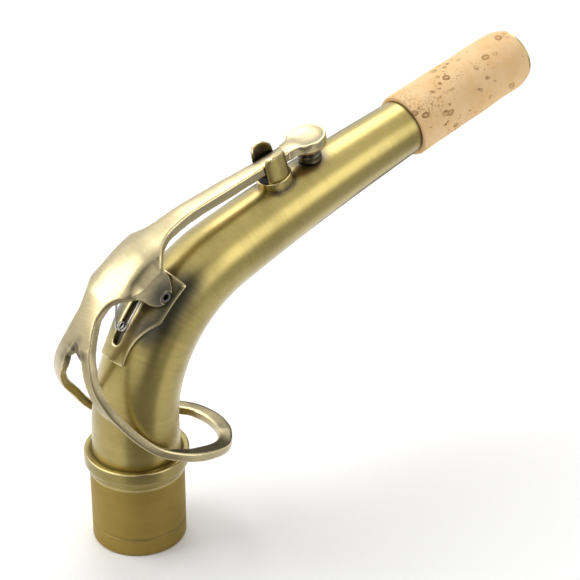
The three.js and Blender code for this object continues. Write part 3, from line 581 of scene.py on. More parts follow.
def cork_finish():
    """Sanded cork: a mottled ground, ragged pits of four sizes with darker rims, and speckles that crowd
    its lower end. A pit is the middle of a Voronoi cell, its place warped by noise."""
    m = Maker("cork")
    light, pit = colour_of("cork"), colour_of("pit")
    where = m.object_place()
    tilted = m.object_place((0.8, 1.0, 1.15), (0, -0.24, 0))
    ground = m.noise(where, 160.0, 6.0, 0.62)
    grain = m.noise(where, 1500.0, 4.0, 0.7)
    drift = m.node("ShaderNodeTexNoise", {}, {"Vector": where, "Scale": 520.0, "Detail": 3.0}, 1)
    warp = m.node("ShaderNodeVectorMath", {"operation": "SCALE"}, {0: drift, "Scale": 0.0011})
    bent = m.node("ShaderNodeVectorMath", {"operation": "ADD"}, {0: tilted, 1: warp})
    mottled = tuple(c * f for c, f in zip(light, (0.95, 0.86, 0.72)))
    tone = m.mix(m.span(ground, 0.35, 0.72), light, mottled)
    tone = m.mix(m.span(grain, 0.58, 0.82) * 0.4, tone, pit)
    lower = m.span(m.node("ShaderNodeSeparateXYZ", {}, {0: where}, 0), 0.098, 0.122, 1.0, 0.0)
    patchy = m.span(ground, 0.35, 0.55, 0.25, 1.0)
    depth = 0.0
    for scale, size, patch_scale, low, high, strength, at_low in CORK_PITS:
        cells = m.node("ShaderNodeTexVoronoi", {"feature": "F1"},
                       {"Vector": bent, "Scale": scale, "Randomness": 1.0})
        chosen = m.span(m.noise(where, patch_scale, 2.0, 0.5), low, high) * (1 - at_low + at_low * lower)
        inside = m.span(cells, size * 0.8, size, 1.0, 0.0) * chosen
        rim = inside * m.span(cells + (grain - 0.5) * 0.25, size * 0.45, size * 0.8)
        tone = m.mix(inside * (strength * 0.45), tone, pit)
        tone = m.mix(rim * strength * patchy, tone, shaded("pit", 0.42))
        depth = inside + depth
    m.set(Base_Color=tone, Metallic=0.0, Roughness=0.82, Specular_IOR_Level=0.25,
          Normal=m.bump(ground * 0.3 + grain * 0.25 - depth, 0.5, 0.00025))
    return m.material


def felt_finish():
    """Dense felt: tangled fibres and a soft bloom."""
    m = Maker("felt")
    dark = colour_of("felt")
    fibres = m.noise(m.object_place((1, 1, 0.4)), 4200.0, 5.0, 0.75)
    clumps = m.noise(m.object_place(), 700.0, 4.0, 0.6)
    tone = m.mix(m.span(fibres, 0.35, 0.75), dark, tuple(min(1, c * 3.2 + 0.01) for c in dark))
    m.set(Base_Color=m.mix(clumps * 0.5, tone, dark), Roughness=0.95, Sheen_Weight=0.25,
          Normal=m.bump(fibres + clumps, 0.8, 0.00025))
    return m.material


def pad_finish():
    """Pad skin: fine wrinkles, amber with browner patches."""
    m = Maker("pad_leather")
    patch = m.noise(m.object_place(), 400.0, 4.0, 0.6)
    folds = m.node("ShaderNodeTexVoronoi", {"feature": "DISTANCE_TO_EDGE"},
                   {"Vector": m.object_place(), "Scale": 2600.0})
    m.set(Base_Color=m.mix(m.span(patch, 0.35, 0.7), colour_of("pad"), shaded("pad", 0.55)),
          Roughness=0.45 + patch * 0.2, Normal=m.bump(folds, 0.3, 0.00008))
    return m.material


def steel_finish(name, colour, rough):
    """Drawn or turned steel: fine lines and faint oil stains."""
    m = Maker(name)
    lines = m.noise(m.surface_place((1.0, 0.05, 1.0)), 6000.0, 3.0, 0.6)
    stain = m.noise(m.object_place(), 500.0, 3.0, 0.6)
    m.set(Base_Color=m.mix(m.span(stain, 0.45, 0.75), colour_of(colour), shaded(colour, 0.5)), Metallic=1.0,
          Roughness=rough + lines * 0.12, Normal=m.bump(lines, 0.15, 0.00003))
    return m.material


# Brushed finishes, each with its two tones and what else differs from the usual one, steels with their
# colour and roughness, and the others with the function that makes them.
BRASSES = {
    "tube_brass": dict(light=("brass", 1.0), dark=("brass_shade", 1.0), coat=0.8),
    "collar_brass": dict(light=("brass", 0.75), dark=("brass_shade", 0.75), worn=0.25),
    "tenon_brass": dict(light=("tenon", 1.0), dark=("tenon", 0.85), rough=0.58, coat=0.0, worn=0.06),
    "dark_brass": dict(light=("bracket", 1.0), dark=("bracket", 0.7), lines_on="object", worn=0.9),
    # A darker copy of the bracket brass: painted shade on the pip under the cup.
    "pip_brass": dict(light=("bracket", 0.7), dark=("bracket", 0.5), lines_on="object", rough=0.32,
                      worn=0.12),
    "key_brass": dict(light=("key", 1.0), dark=("key", 0.78), lines_on="object", rough=0.27, worn=0.6),
}
STEELS = {"steel": ("steel", 0.25), "spring_steel": ("wire", 0.18)}
SOFT_FINISHES = {"cork": cork_finish, "felt": felt_finish, "pad_leather": pad_finish}
FINISHES = {}


def finish_of(name):
    """The material of a finish, made when it is first asked for."""
    if name not in FINISHES:
        if name in BRASSES:
            FINISHES[name] = brushed(name, **BRASSES[name])
        elif name in STEELS:
            FINISHES[name] = steel_finish(name, *STEELS[name])
        else:
            FINISHES[name] = SOFT_FINISHES[name]()
    return FINISHES[name]


# Pieces of the neck.

def tube_shape():
    """The tube: up its outer radius from inside the tenon to inside the tip ring, and down its inner."""
    stations = np.linspace(TUBE_START, NECK_END - 0.6, 190)
    outer = np.stack([tube_radius(stations), stations], axis=-1)
    inner = outer[::-1] - [size_of("tube_wall"), 0]
    return bent_turning(np.concatenate([outer, inner]), 128)


def tenon_shape():
    """The tenon: a sleeve with a fine groove outside, and a socket inside that the tube's end stands in."""
    radius, bore = size_of("tenon"), size_of("tube_low") - size_of("tube_wall")
    socket, depth = size_of("tube_low") + SEAT, 0.2
    outline = [(bore, 0), (radius, 0), (radius, GROOVE_HEIGHT - depth), (radius - depth, GROOVE_HEIGHT),
               (radius, GROOVE_HEIGHT + depth), (radius, TENON_LENGTH), (socket, TENON_LENGTH),
               (socket, TUBE_START - 0.1), (bore, TUBE_START - 0.7)]
    return bent_turning(soft_loop(outline, [0.3, 0.55, 0.12, 0.05, 0.12, 0.2, 0.1, 0.1, 0.1], 1.0))


def collar_shape():
    """The collar: a short foot, a flat band with a bevel below and above, and a top that dips to the tube."""
    radius, bore, foot = size_of("collar"), size_of("tube_low") + SEAT, TENON_LENGTH
    neck, top = size_of("tenon") + 0.1, foot + COLLAR_HEIGHT + COLLAR_LIFT
    outline = [(bore, foot), (neck, foot), (neck, top - 4.35), (radius - 0.62, top - 4.0),
               (radius - 0.12, top - 3.45), (radius, top - 3.1), (radius, top - 0.32), (radius - 0.32, top),
               (bore + 0.7, top - 0.05), (bore + 0.12, top - 0.35), (bore, top - 0.37)]
    corners = [0.1, 0.05, 0.2, 0.2, 0.25, 0.3, 0.22, 0.25, 0.5, 0.2, 0.02]
    return bent_turning(soft_loop(outline, corners, 0.8, 6))


def tip_ring_shape():
    """The tip ring: a band over the tube's end, with a lip that covers the end of its wall."""
    start, lip, radius = NECK_END - TIP_RING_LENGTH, NECK_END - 0.5, TIP_RING_RADIUS
    bore, inner = size_of("tube_tip") - size_of("tube_wall"), size_of("tube_tip") + 0.05
    outline = [(inner, start), (radius, start), (radius, NECK_END), (bore, NECK_END), (bore, lip),
               (inner, lip)]
    return bent_turning(soft_loop(outline, [0.1, 0.1, 0.25, 0.2, 0.1, 0.1], 0.8))


def cork_shape():
    """The cork sleeve, a little swollen and uneven: its radius gains a few hundredths of a millimetre
    by slow waves of the station and the angle."""
    start, end, seat = CORK_START, NECK_END - TIP_RING_SHOWN, NECK_END - TIP_RING_LENGTH - 0.05
    low, tip, ring = size_of("cork_low"), size_of("cork_tip"), TIP_RING_RADIUS + SEAT
    outline = [(tube_radius(start) + SEAT, start), (low, start), (low, start + 4.0), (tip, end - 2.6),
               (tip - 0.85, end), (ring, end), (ring, seat), (tube_radius(seat) + 0.03, seat)]
    loop = soft_loop(outline, [0.1, 0.9, 3.0, 2.2, 0.8, 0.1, 0.1, 0.1], 0.7, 8)
    angle = around(128)
    radius, station = loop[:, :1], loop[:, 1:]
    waves = 0.05 * np.sin(3 * angle + 0.31 * station) + 0.04 * np.sin(5 * angle - 0.47 * station + 1.3)
    outside = np.clip((radius - tube_radius(station) - 0.3) / 0.5, 0, 1)
    swollen = radius + waves * outside
    grid = neck_point(station, swollen * np.cos(angle), swollen * np.sin(angle))
    return Shape().add(grid, surface_map=wrapped_map(loop, angle))


# Bracket.

SADDLE_START, SADDLE_END, SADDLE_RADIUS = 50.7, 71.5, 10.7
# Shares of the saddle's length, and there half its width as a share of an arc of 45 degrees.
SADDLE_SHARES = [(0, 0.51), (0.10, 0.51), (0.19, 0.53), (0.28, 0.59), (0.37, 0.70), (0.45, 0.83),
                 (0.50, 0.93), (0.545, 1.0), (1.0, 1.0)]
# The slot along the saddle's crest: where it starts and ends, and half its width.
SLOT_START, SLOT_END, SLOT_HALF = 53.9, 69.3, 1.35
# The lugs: radius of the head, depth of the foot under the hinge, half its length, and the two faces.
LUG_HEAD, LUG_DEPTH, LUG_FOOT, LUG_INNER, LUG_OUTER = 2.2, 3.2, 2.8, 4.5, 6.1


def even_loop(loop, count):
    """The closed loop read at equal distances along itself."""
    closed = np.concatenate([loop, loop[:1]])
    travel = np.concatenate([[0], np.cumsum(np.linalg.norm(np.diff(closed, axis=0), axis=1))])
    at = np.linspace(0, travel[-1], count, endpoint=False)
    return np.stack([np.interp(at, travel, closed[:, i]) for i in range(2)], axis=-1)


def saddle_rows():
    """The saddle as rows of closed loops between the slot and the outline, in (station, arc, height):
    up the slot's wall, over its rounded edge, across the face, over the outer edge and back below."""
    span, arc, half, count = SADDLE_END - SADDLE_START, math.radians(45) * SADDLE_RADIUS, SLOT_HALF, 320
    side = [(SADDLE_START + span * share, arc * width) for share, width in SADDLE_SHARES]
    outline = [(s, -a) for s, a in side] + [(s, a) for s, a in reversed(side)]
    corners = [0.35] * 2 + [0.6] * 5 + [0.35] * 2
    outer = np.concatenate([[(SADDLE_START, 0.0)], rounded(outline, corners * 2, 6)])
    angle = np.linspace(0, np.pi, 24)
    bottom = np.stack([SLOT_START + half - half * np.sin(angle), half * np.cos(angle)], axis=-1)
    upper = np.stack([SLOT_END - half + half * np.sin(angle), -half * np.cos(angle)], axis=-1)
    inner = np.concatenate([bottom[12:], upper, bottom[:12]])
    slot, rim = even_loop(inner, count), even_loop(outer, count)
    gap = np.linalg.norm(rim - slot, axis=1)
    top, edge = size_of("saddle"), 0.28
    insets = [(0, 0.0), (0, 0.4), (0, top - edge), (0.1, top - 0.08), (edge, top)]
    slot_wall = [(np.minimum(inset / gap, 0.2), height) for inset, height in insets]
    outer_wall = [(1 - share, height) for share, height in reversed(slot_wall)]
    face = [(np.full(count, share), top) for share in (0.2, 0.4, 0.6, 0.8)]
    back = [(np.full(count, share), 0.0) for share in (0.7, 0.3)]
    rows = slot_wall + face + outer_wall + back
    flat = np.stack([slot + (rim - slot) * share[:, None] for share, _ in rows])
    heights = np.array([height for _, height in rows])[:, None]
    return flat, heights


def bracket_shape():
    """The bracket: the saddle's rows laid on the tube, where the arc s stands at the angle s / R, and two
    lugs."""
    flat, heights = saddle_rows()
    station, angle = flat[..., 0], flat[..., 1] / SADDLE_RADIUS
    radius = tube_radius(station) + SEAT + heights
    grid = neck_point(station, radius * np.cos(angle), radius * np.sin(angle))
    shape = Shape().add(grid, surface_map=flat)
    for side in (-1, 1):
        shape.add(lug_grid(side))
    return shape


def shrunk(outline, centre, share, inset):
    """An outline about its centre at a share of its size, less an inset: centre + (point - centre) times
    (share - inset / distance)."""
    size = np.linalg.norm(outline - centre, axis=1)[:, None]
    return centre + (outline - centre) * (share - inset / size)


def slab_grid(outline, low, high, bevel):
    """A slab between two Y planes: rings of the (x, z) outline that shrink to its middle on both faces."""
    centre = outline.mean(axis=0)
    rows = []
    for share, inset, y in ((1e-4, 0, low), (0.5, 0, low), (1, bevel, low), (1, 0, low + bevel),
                            (1, 0, high - bevel), (1, bevel, high), (0.5, 0, high), (1e-4, 0, high)):
        flat = shrunk(outline, centre, share, inset)
        rows.append(np.stack([flat[:, 0], np.full(len(flat), y), flat[:, 1]], axis=-1))
    return np.stack(rows)


def lug_grid(side):
    """A lug: a round head about the hinge on a foot that runs into the saddle."""
    hinge, along, out = hinge_axes()
    turn = np.linspace(0, np.pi, 20)[:, None]
    head = hinge + LUG_HEAD * (np.cos(turn) * along + np.sin(turn) * out)
    foot = [hinge - LUG_DEPTH * out + end * LUG_FOOT * along for end in (-1, 1)]
    loop = divided(np.concatenate([head, foot]), 0.5)
    return slab_grid(loop, *sorted((side * LUG_INNER, side * LUG_OUTER)), 0.2)


# Key.

# Points of the lines that the ring's outer edge and the plate's far edge follow: shares of the cup's
# station, of the key's distance from the neck's line, and of half the ring's width.
RING_SHARES = [
    (0.191, -1.068, 0), (0.192, -0.984, 0.477), (0.196, -0.764, 0.82), (0.22, -0.372, 0.994),
    (0.238, -0.108, 0.942), (0.264, 0.132, 0.831), (0.301, 0.331, 0.744), (0.335, 0.518, 0.68),
    (0.366, 0.702, 0.634), (0.398, 0.857, 0.517), (0.433, 0.938, 0.384), (0.47, 0.967, 0.262),
]
PLATE_SHARES = [
    (0.418, 0.972, 0.44), (0.437, 0.983, 0.36), (0.47, 0.985, 0.255), (0.486, 0.985, 0.222),
    (0.5, 0.985, 0.235), (0.514, 0.984, 0.281), (0.524, 0.974, 0.345), (0.537, 0.958, 0.458),
    (0.558, 0.94, 0.48), (0.577, 0.921, 0.48), (0.59, 0.905, 0.48), (0.599, 0.889, 0.455),
    (0.61, 0.867, 0.383), (0.622, 0.842, 0.28), (0.637, 0.82, 0.206), (0.657, 0.8, 0.178),
    (0.683, 0.775, 0.158), (0.776, 0.707, 0.145), (0.843, 0.671, 0.125), (0.901, 0.65, 0.122),
    (0.952, 0.638, 0.128),
]
# At the points of those lines: the strap's width and the plate's thickness as shares of their sizes, and
# how much of the shoulders' fall the plate has.
STRAP_SHARES = [1, 1, 1, 1.05, 0.87, 0.5, 0.54, 0.74, 0.95, 1, 1.05, 1.05]
PLATE_THICKNESS = [1, 1, 1, 0.95, 0.9, 0.85, 0.82, 0.82, 0.82, 0.82, 0.82, 0.82, 0.85, 0.9, 1, 1.1, 1.18,
                   1.18, 1.18, 1.18, 1.18]
SHOULDER_SHARES = [0, 0, 0, 0, 0, 0, 0, 0.3, 0.95, 1, 1, 0.8, 0.25, 0, 0, 0, 0, 0, 0, 0, 0]
SHOULDER_START, SHOULDER_RADIUS, CROWN_RADIUS = 5.3, 1.6, 17.0
RING_HALF_WIDTH = 17.2
# How the strap narrows beside the plate on the near side, and widens on the far side: points of its line
# and shares of its width.
NEAR_POINTS, NEAR_WIDTHS = [7.2, 8.2, 9.0, 9.6, 10.4], [1, 0.85, 0.62, 0.62, 0.72]
FAR_POINTS, FAR_WIDTHS = [8.0, 9.0, 9.5, 9.8, 10.4], [1, 1.2, 1.4, 1.35, 0.9]
# The arch that ends the slot between the arms: its middle off the crown, its reach to the near and the
# far side, and its rise in points of the plate's line.
ARCH_MIDDLE, ARCH_NEAR, ARCH_FAR, ARCH_RISE = -1.2, 5.0, 4.0, 1.5
# The ear's edge about the hinge, along the neck and out from it, and the plate's points above the ear.
EAR_EDGE = [(-5.15, 8.5), (-4.18, 5.79), (-4.2, 3.08), (-3.32, 0.27), (-1.52, -1.6), (0.56, -1.65),
            (2.26, -0.9), (4.68, 2.84)]
EAR_POINTS = np.array([11.2, 10.4, 9.5, 8.6, 7.8, 7.1])
# How far the arms' section shrinks where it ends in the plate, and how far the plate's start is tucked
# into the arms.
ARM_SINK, PLATE_TUCK = 0.14, 0.18
# Cells of the key's skin in millimetres, and the rounds that smooth it.
SKIN_CELL, SKIN_ROUNDS = 0.24, 22
# Bores of the ears: radius for the screws' shanks and for their heads, where the heads' bores start, and
# where all of them end.
SHANK_BORE, HEAD_BORE, HEAD_BORE_START, BORE_END = 1.05, 1.7, 7.1, 9.5


class KeyLine:
    """A smooth line through the key's points: a centripetal cubic through them, which starts at the
    second point's mirror image. In each span the tangents weigh the chords by the root of their length."""

    def __init__(self, shares):
        table = np.array([(shares[1][0], shares[1][1], -shares[1][2]), *shares], dtype=float)
        points = neck_point(*(table * [CUP_STATION, KEY_STANDOFF, RING_HALF_WIDTH]).T)
        self.last = len(shares) - 1
        self.points = np.concatenate([[2 * points[0] - points[1]], points, [2 * points[-1] - points[-2]]])

    def at(self, number):
        """The line's point at a number, which counts its points from 0. Between p1 and p2, with the
        tangents m1 and m2, it is p1 + m1 t + (3(p2 - p1) - 2 m1 - m2) t^2 + (2(p1 - p2) + m1 + m2) t^3."""
        place = np.asarray(number, dtype=float) + 1
        index = np.clip(np.floor(place).astype(int), 0, self.last)
        t = (place - index)[..., None]
        p0, p1, p2, p3 = (self.points[index + i] for i in range(4))
        d0, d1, d2 = (np.sqrt(np.linalg.norm(b - a, axis=-1, keepdims=True))
                      for a, b in ((p0, p1), (p1, p2), (p2, p3)))
        m1 = ((p1 - p0) / d0 - (p2 - p0) / (d0 + d1) + (p2 - p1) / d1) * d1
        m2 = ((p2 - p1) / d1 - (p3 - p1) / (d1 + d2) + (p3 - p2) / d2) * d1
        return p1 + m1 * t + (3 * (p2 - p1) - 2 * m1 - m2) * t ** 2 + (2 * (p1 - p2) + m1 + m2) * t ** 3

    def heading(self, number):
        """The line's way at a number, without its part across the neck."""
        ahead = self.at(np.minimum(number + 0.01, self.last)) - self.at(np.maximum(number - 0.01, -0.99))
        flat = ahead * [1, 0, 1]
        return flat / np.linalg.norm(flat, axis=-1, keepdims=True)


def inward(heading):
    """Square to the line's heading in its upright plane, to the key's inner face."""
    return np.stack([heading[..., 2], 0 * heading[..., 0], -heading[..., 0]], axis=-1)


def strap_grid(line):
    """The strap swept along its outer edge. At each point its rounded section runs inward, square to the
    edge as seen flat, and down from the outer face. Near the plate its inner side rises as the plate's
    crown does, by (Y^2 - y^2) / 2R. The near arm is the same with Y turned round, but beside the plate it
    is narrower and the far one wider. Where the arms end in the plate, their section shrinks a little."""
    numbers = np.linspace(0, line.last - 0.6, 320)
    at, heading = line.at(numbers), line.heading(np.maximum(numbers, 0.02))
    ahead = line.at(np.minimum(numbers + 0.02, line.last)) - line.at(numbers - 0.02)
    forward = (ahead * heading).sum(axis=-1)
    length = np.hypot(forward, ahead[:, 1])
    inner_step = heading * (ahead[:, 1] / length)[:, None]
    inner_step[:, 1] = -forward / length
    strap, thick = size_of("strap"), size_of("key")
    width = strap * np.interp(numbers, range(len(STRAP_SHARES)), STRAP_SHARES)
    corner = soft_loop([(0, 0), (strap, 0), (strap, thick), (0, thick)], 0.32, 0.5) / [strap, thick]
    across, down = corner[:, 0][None, :], corner[:, 1][None, :]
    near_plate = np.clip((numbers - 7.0) / 2.5, 0, 1)[:, None]
    sunk = ARM_SINK * np.clip((numbers - 9.7) / 0.7, 0, 1)[:, None]
    sides = []
    for points, widths in ((NEAR_POINTS, NEAR_WIDTHS), (FAR_POINTS, FAR_WIDTHS)):
        wide = (width * np.interp(numbers, points, widths))[:, None]
        grid = at[:, None] + inner_step[:, None] * (2 * sunk + (wide - 2 * sunk) * across)[..., None]
        rise = near_plate * (at[:, 1][:, None] ** 2 - grid[..., 1] ** 2) / (2 * CROWN_RADIUS)
        sides.append(grid + inward(heading)[:, None] * (sunk + (thick - 2 * sunk) * down - rise)[..., None])
    return np.concatenate([(sides[0] * [1, -1, 1])[1:][::-1], sides[1]])


def plate_grid(line):
    """The plate and arm: a closed section of outer and inner face at each point of the crown's line.
    At the distance y from the crown the faces fall by y^2 / 2R, and beside the ears by another
    (y - s)^2 / 2r beyond the shoulder's start s. The first rows arch up over the slot between the arms by
    (1 - |y / reach|^1.6)^0.8, and beside it they are tucked a little into the strap."""
    numbers = np.linspace(0, line.last, 420)
    across = np.concatenate([np.linspace(-1, 1, 61), np.linspace(1, -1, 61)])
    share = np.concatenate([np.zeros(61), np.ones(61)])
    wide = line.at(0.0)[1]
    middle = ARCH_MIDDLE / wide
    reach = np.where(across < middle, ARCH_NEAR, ARCH_FAR) / wide
    arch = np.maximum(1 - np.abs((across - middle) / reach) ** 1.6, 0) ** 0.8
    number = numbers[:, None] + ARCH_RISE * arch[None, :] * np.maximum(1 - numbers[:, None] / 4, 0)
    at, heading = line.at(number), line.heading(number)
    thickness = size_of("key") * np.interp(number, range(len(PLATE_THICKNESS)), PLATE_THICKNESS)
    shoulder = smooth_table(number, SHOULDER_SHARES)
    y = at[..., 1] * across[None, :]
    beyond = np.maximum(np.abs(y) - SHOULDER_START, 0)
    fall = y ** 2 / (2 * CROWN_RADIUS) + shoulder * beyond ** 2 / (2 * SHOULDER_RADIUS)
    tucked = np.clip(1 - numbers / 1.6, 0, 1)[:, None] * (1 - arch[None, :])
    fall = fall + PLATE_TUCK * tucked
    grid = at + inward(heading) * (fall + (thickness - 2 * PLATE_TUCK * tucked) * share[None, :])[..., None]
    grid[..., 1] = y * (1 - 0.045 * tucked)
    return grid


def smooth_table(number, values):
    """A table read between its points along a cosine ramp: low + (high - low)(1 - cos(pi t)) / 2."""
    values = np.asarray(values, dtype=float)
    low = np.clip(np.floor(number).astype(int), 0, len(values) - 2)
    ease = (1 - np.cos(np.pi * np.clip(number - low, 0, 1))) / 2
    return values[low] + (values[low + 1] - values[low]) * ease


def capped(grid):
    """The sweep with its first and last loop drawn in to their middles, which closes both ends."""
    first = grid[0].mean(axis=0, keepdims=True) + 0 * grid[0]
    last = grid[-1].mean(axis=0, keepdims=True) + 0 * grid[-1]
    return np.concatenate([first[None], grid, last[None]])


def ear_grid(plate_line, side):
    """An ear: a slab with bevelled edges whose outline is the ear's edge about the hinge, closed by a line
    just under the plate's shoulder."""
    hinge, along, out = hinge_axes()
    lower = [hinge + a * along + b * out for a, b in EAR_EDGE]
    at, heading = plate_line.at(EAR_POINTS), plate_line.heading(EAR_POINTS)
    bend = (EAR_OUTER - SHOULDER_START) ** 2 / (2 * SHOULDER_RADIUS)
    fall = EAR_OUTER ** 2 / (2 * CROWN_RADIUS) + bend * smooth_table(EAR_POINTS, SHOULDER_SHARES)
    upper = at + inward(heading) * (fall + 1.1)[:, None]
    outline = np.concatenate([np.array(lower), upper[:, [0, 2]]])
    loop = soft_loop(outline, [0.5, 1.4, 1.4, 1.4, 1.0, 1.2, 1.0, 1.2] + [0.4] * 6, 0.35, 6)
    return slab_grid(loop, *sorted((side * EAR_INNER, side * (EAR_OUTER + 0.1))), 0.3)


def fused(shape):
    """One skin round overlapping solids: a voxel remesh of the shape, then rounds of smoothing."""
    work = bpy.data.objects.new("key_work", shape.mesh("key_work"))
    bpy.context.collection.objects.link(work)
    remesh = work.modifiers.new("skin", "REMESH")
    remesh.mode, remesh.voxel_size, remesh.use_smooth_shade = "VOXEL", SKIN_CELL * MM, True
    smooth = work.modifiers.new("smooth", "SMOOTH")
    smooth.factor, smooth.iterations = 0.5, SKIN_ROUNDS
    return work


def with_bores(work, bores):
    """Cuts round bars about the hinge out of the piece and returns the finished mesh."""
    cutters = []
    for radius, low, high in bores:
        cutter = bpy.data.objects.new("bar", bar_shape(radius, low, high).mesh("bar"))
        bpy.context.collection.objects.link(cutter)
        cut = work.modifiers.new("bore", "BOOLEAN")
        cut.operation, cut.solver, cut.object = "DIFFERENCE", "EXACT", cutter
        cutters.append(cutter)
    depsgraph = bpy.context.evaluated_depsgraph_get()
    finished = bpy.data.meshes.new_from_object(work.evaluated_get(depsgraph))
    for item in (work, *cutters):
        mesh = item.data
        bpy.data.objects.remove(item)
        bpy.data.meshes.remove(mesh)
    finished.materials.clear()
    return finished


def bar_shape(radius, low, high):
    """A bar along Y about the hinge, closed at both ends."""
    profile = np.array([(1e-4, low), (radius, low), (radius, high), (1e-4, high)])
    place = np.array([(1, 0, 0), (0, 0, 1), (0, 1, 0), neck_point(HINGE_STATION, HINGE_HEIGHT, 0.0)]).T
    return Shape().add(placed(turned(profile, around(48)), place))


def key_mesh():
    """The key: strap, plate and ears fused into one skin, with a bore for each screw's head and one
    through both ears for their shanks."""
    plate_line = KeyLine(PLATE_SHARES)
    shape = Shape()
    for grid in (strap_grid(KeyLine(RING_SHARES)), plate_grid(plate_line)):
        shape.add(capped(grid), wrap_rows=False)
    for side in (-1, 1):
        shape.add(ear_grid(plate_line, side))
    bores = [(HEAD_BORE, -BORE_END, -HEAD_BORE_START), (HEAD_BORE, HEAD_BORE_START, BORE_END),
             (SHANK_BORE, -BORE_END, BORE_END)]
    mesh = with_bores(fused(shape), bores)
    mesh.name = "key_body"
    soften(mesh, KEY_CREASE)
    return mesh


# Cup, pad and pip.

# Half the arm's width at the cup, the cup's angle where its tail leaves the round, and where the tail ends.
ARM_HALF, TAIL_ANGLE, TAIL_END = 2.3, math.pi - 0.80, -7.7
# The cup's rings from the middle of its top over the rim and back to the middle inside: the ring's share
# of the outline, its height, and how much it follows the tail rather than the round. The first ones make
# the top, which levels off towards the tail.
CUP_RINGS = [(0.0, -0.52, 0), (0.40, -0.47, 0), (0.66, -0.36, 0), (0.80, -0.2, 0.2), (0.88, -0.05, 0.6),
             (0.93, 0.0, 1), (0.965, -0.03, 1), (0.99, -0.16, 1), (1.0, -0.4, 1), (1.0, -1.3, 1),
             (1.0, -2.2, 1), (0.985, -2.42, 1), (0.95, -2.5, 1), (0.90, -2.45, 0), (0.88, -2.2, 0),
             (0.88, -1.2, 0), (0.86, -1.05, 0), (0.4, -1.05, 0), (0.0, -1.05, 0)]
CUP_TOP_RINGS = 9
# The tube's radius under the pip.
PIP_TUBE_RADIUS = 8.55


def cup_place():
    """Frame of the pad cup: it goes on in line with the arm's last stretch."""
    line = KeyLine(PLATE_SHARES)
    heading = line.heading(float(line.last))
    out = -inward(heading)
    end = line.at(float(line.last)) * [1, 0, 1]
    centre = end + heading * (size_of("cup") + 0.1)
    return np.array([heading, np.cross(out, heading), out, centre]).T


def cup_outline():
    """The cup's outline from above, read at equal distances: a circle of the cup's radius R up to the
    angle of the tail, then on each side the parabola (1-t)^2 A + 2t(1-t) B + t^2 C. It leaves the circle
    along its tangent at A and meets the arm's side at C, where it runs along the arm."""
    turn = np.linspace(-TAIL_ANGLE, TAIL_ANGLE, 90)
    circle = size_of("cup") * np.stack([np.cos(turn), np.sin(turn)], axis=-1)
    a, c = circle[-1], np.array([TAIL_END, ARM_HALF])
    b = np.array([a[0] + math.tan(TAIL_ANGLE) * (a[1] - ARM_HALF), ARM_HALF])
    t = np.linspace(0, 1, 24)[1:, None]
    tail = (1 - t) ** 2 * a + 2 * t * (1 - t) * b + t ** 2 * c
    return even_loop(np.concatenate([circle, tail, tail[::-1] * [1, -1]]), 160)


def cup_shape():
    """The cup: rings between the middle and the outline. Inside, a ring is a share of the circle, and
    outside a share of the whole outline. The rim fades towards the tail, where the top is level."""
    outline = cup_outline()
    way = np.arctan2(outline[:, 1], outline[:, 0])
    round_part = size_of("cup") * np.stack([np.cos(way), np.sin(way)], axis=-1)
    rows = []
    for number, (share, height, outer) in enumerate(CUP_RINGS):
        flat = share * (round_part + (outline - round_part) * outer)
        ease = np.clip((-flat[:, 0] - 1.8) / 3.4, 0, 1) * (number < CUP_TOP_RINGS)
        tail = ease ** 2 * (3 - 2 * ease)
        arm_top = 0.04 - flat[:, 1] ** 2 / (2 * CROWN_RADIUS) + min(height, 0) * (share > 0.95)
        rows.append(np.column_stack([flat, height * (1 - tail) + arm_top * tail]))
    return Shape().add(placed(np.stack(rows), cup_place()), wrap_rows=False)


def pad_shape():
    """The pad: a disc that bulges a little under the cup's rim, with the round seat mark of the pip."""
    radius, bulge = size_of("cup") - 0.72, size_of("cup") - 0.1
    profile = np.array([(1e-4, -1.1), (radius, -1.1), (radius, -2.45), (bulge, -2.54), (bulge + 0.05, -2.7),
                        (bulge - 0.1, -2.86), (bulge - 0.5, -2.94), (3.0, -2.95), (2.4, -2.94), (2.15, -2.86),
                        (1.9, -2.94), (1e-4, -2.95)])
    return turning(profile, cup_place())


def pip_shape():
    """The pip: a nipple with a bore, a flange that follows the tube, and the shank inside the hole. The
    flange's underside drops by R - sqrt(R^2 - y^2) and a little more."""
    outline = [(0.9, -7.2), (1.7, -7.2), (1.7, -6.6), (3.2, -6.6), (3.15, -5.5), (2.5, -4.9), (2.2, -3.9),
               (2.15, -3.25), (0.9, -3.25)]
    loop = soft_loop(outline, [0.1, 0.1, 0.05, 0.1, 0.4, 0.8, 0.4, 0.3, 0.15], 0.5)
    angle = around(72)
    grid = turned(loop, angle)
    drop = PIP_TUBE_RADIUS - np.sqrt(PIP_TUBE_RADIUS ** 2 - np.minimum(np.abs(grid[..., 1]), 8) ** 2)
    foot = (loop[:, 1:] < -6.2) & (loop[:, :1] > 1.75)
    grid[..., 2] -= np.where(foot, drop + 0.1, 0)
    return Shape().add(placed(grid, cup_place()), surface_map=wrapped_map(loop, angle))


# Guide.

# The fork's outer radius, the thickness of its wings, half the slot between them, and half a wing's width.
FORK_RADIUS, WING_WALL, FORK_SLOT, WING_HALF = 4.1, 0.85, 2.25, 3.3725
# Heights above the tube: a wing's foot, the middle that its rings shrink to, its shoulder and its top.
WING_FOOT, WING_MIDDLE, WING_SHOULDER, WING_TOP = 0.6, 5.5, 7.3, 10.1
# The guide's cup: its two radii, and its lower and upper edge above the tube.
BASE_BORE, BASE_RADIUS, BASE_LOW, BASE_TOP = 4.15, 4.7, -0.1, 2.2
# The felt: radius, half its width across the slot, and its lower and upper face above the tube.
FELT_RADIUS, FELT_HALF, FELT_LOW, FELT_TOP = 4.0, 2.12, 1.1, 3.6


def guide_surface():
    """The tube's radius under the guide, which is the height of its surface in the guide's frame."""
    return float(tube_radius(GUIDE_STATION))


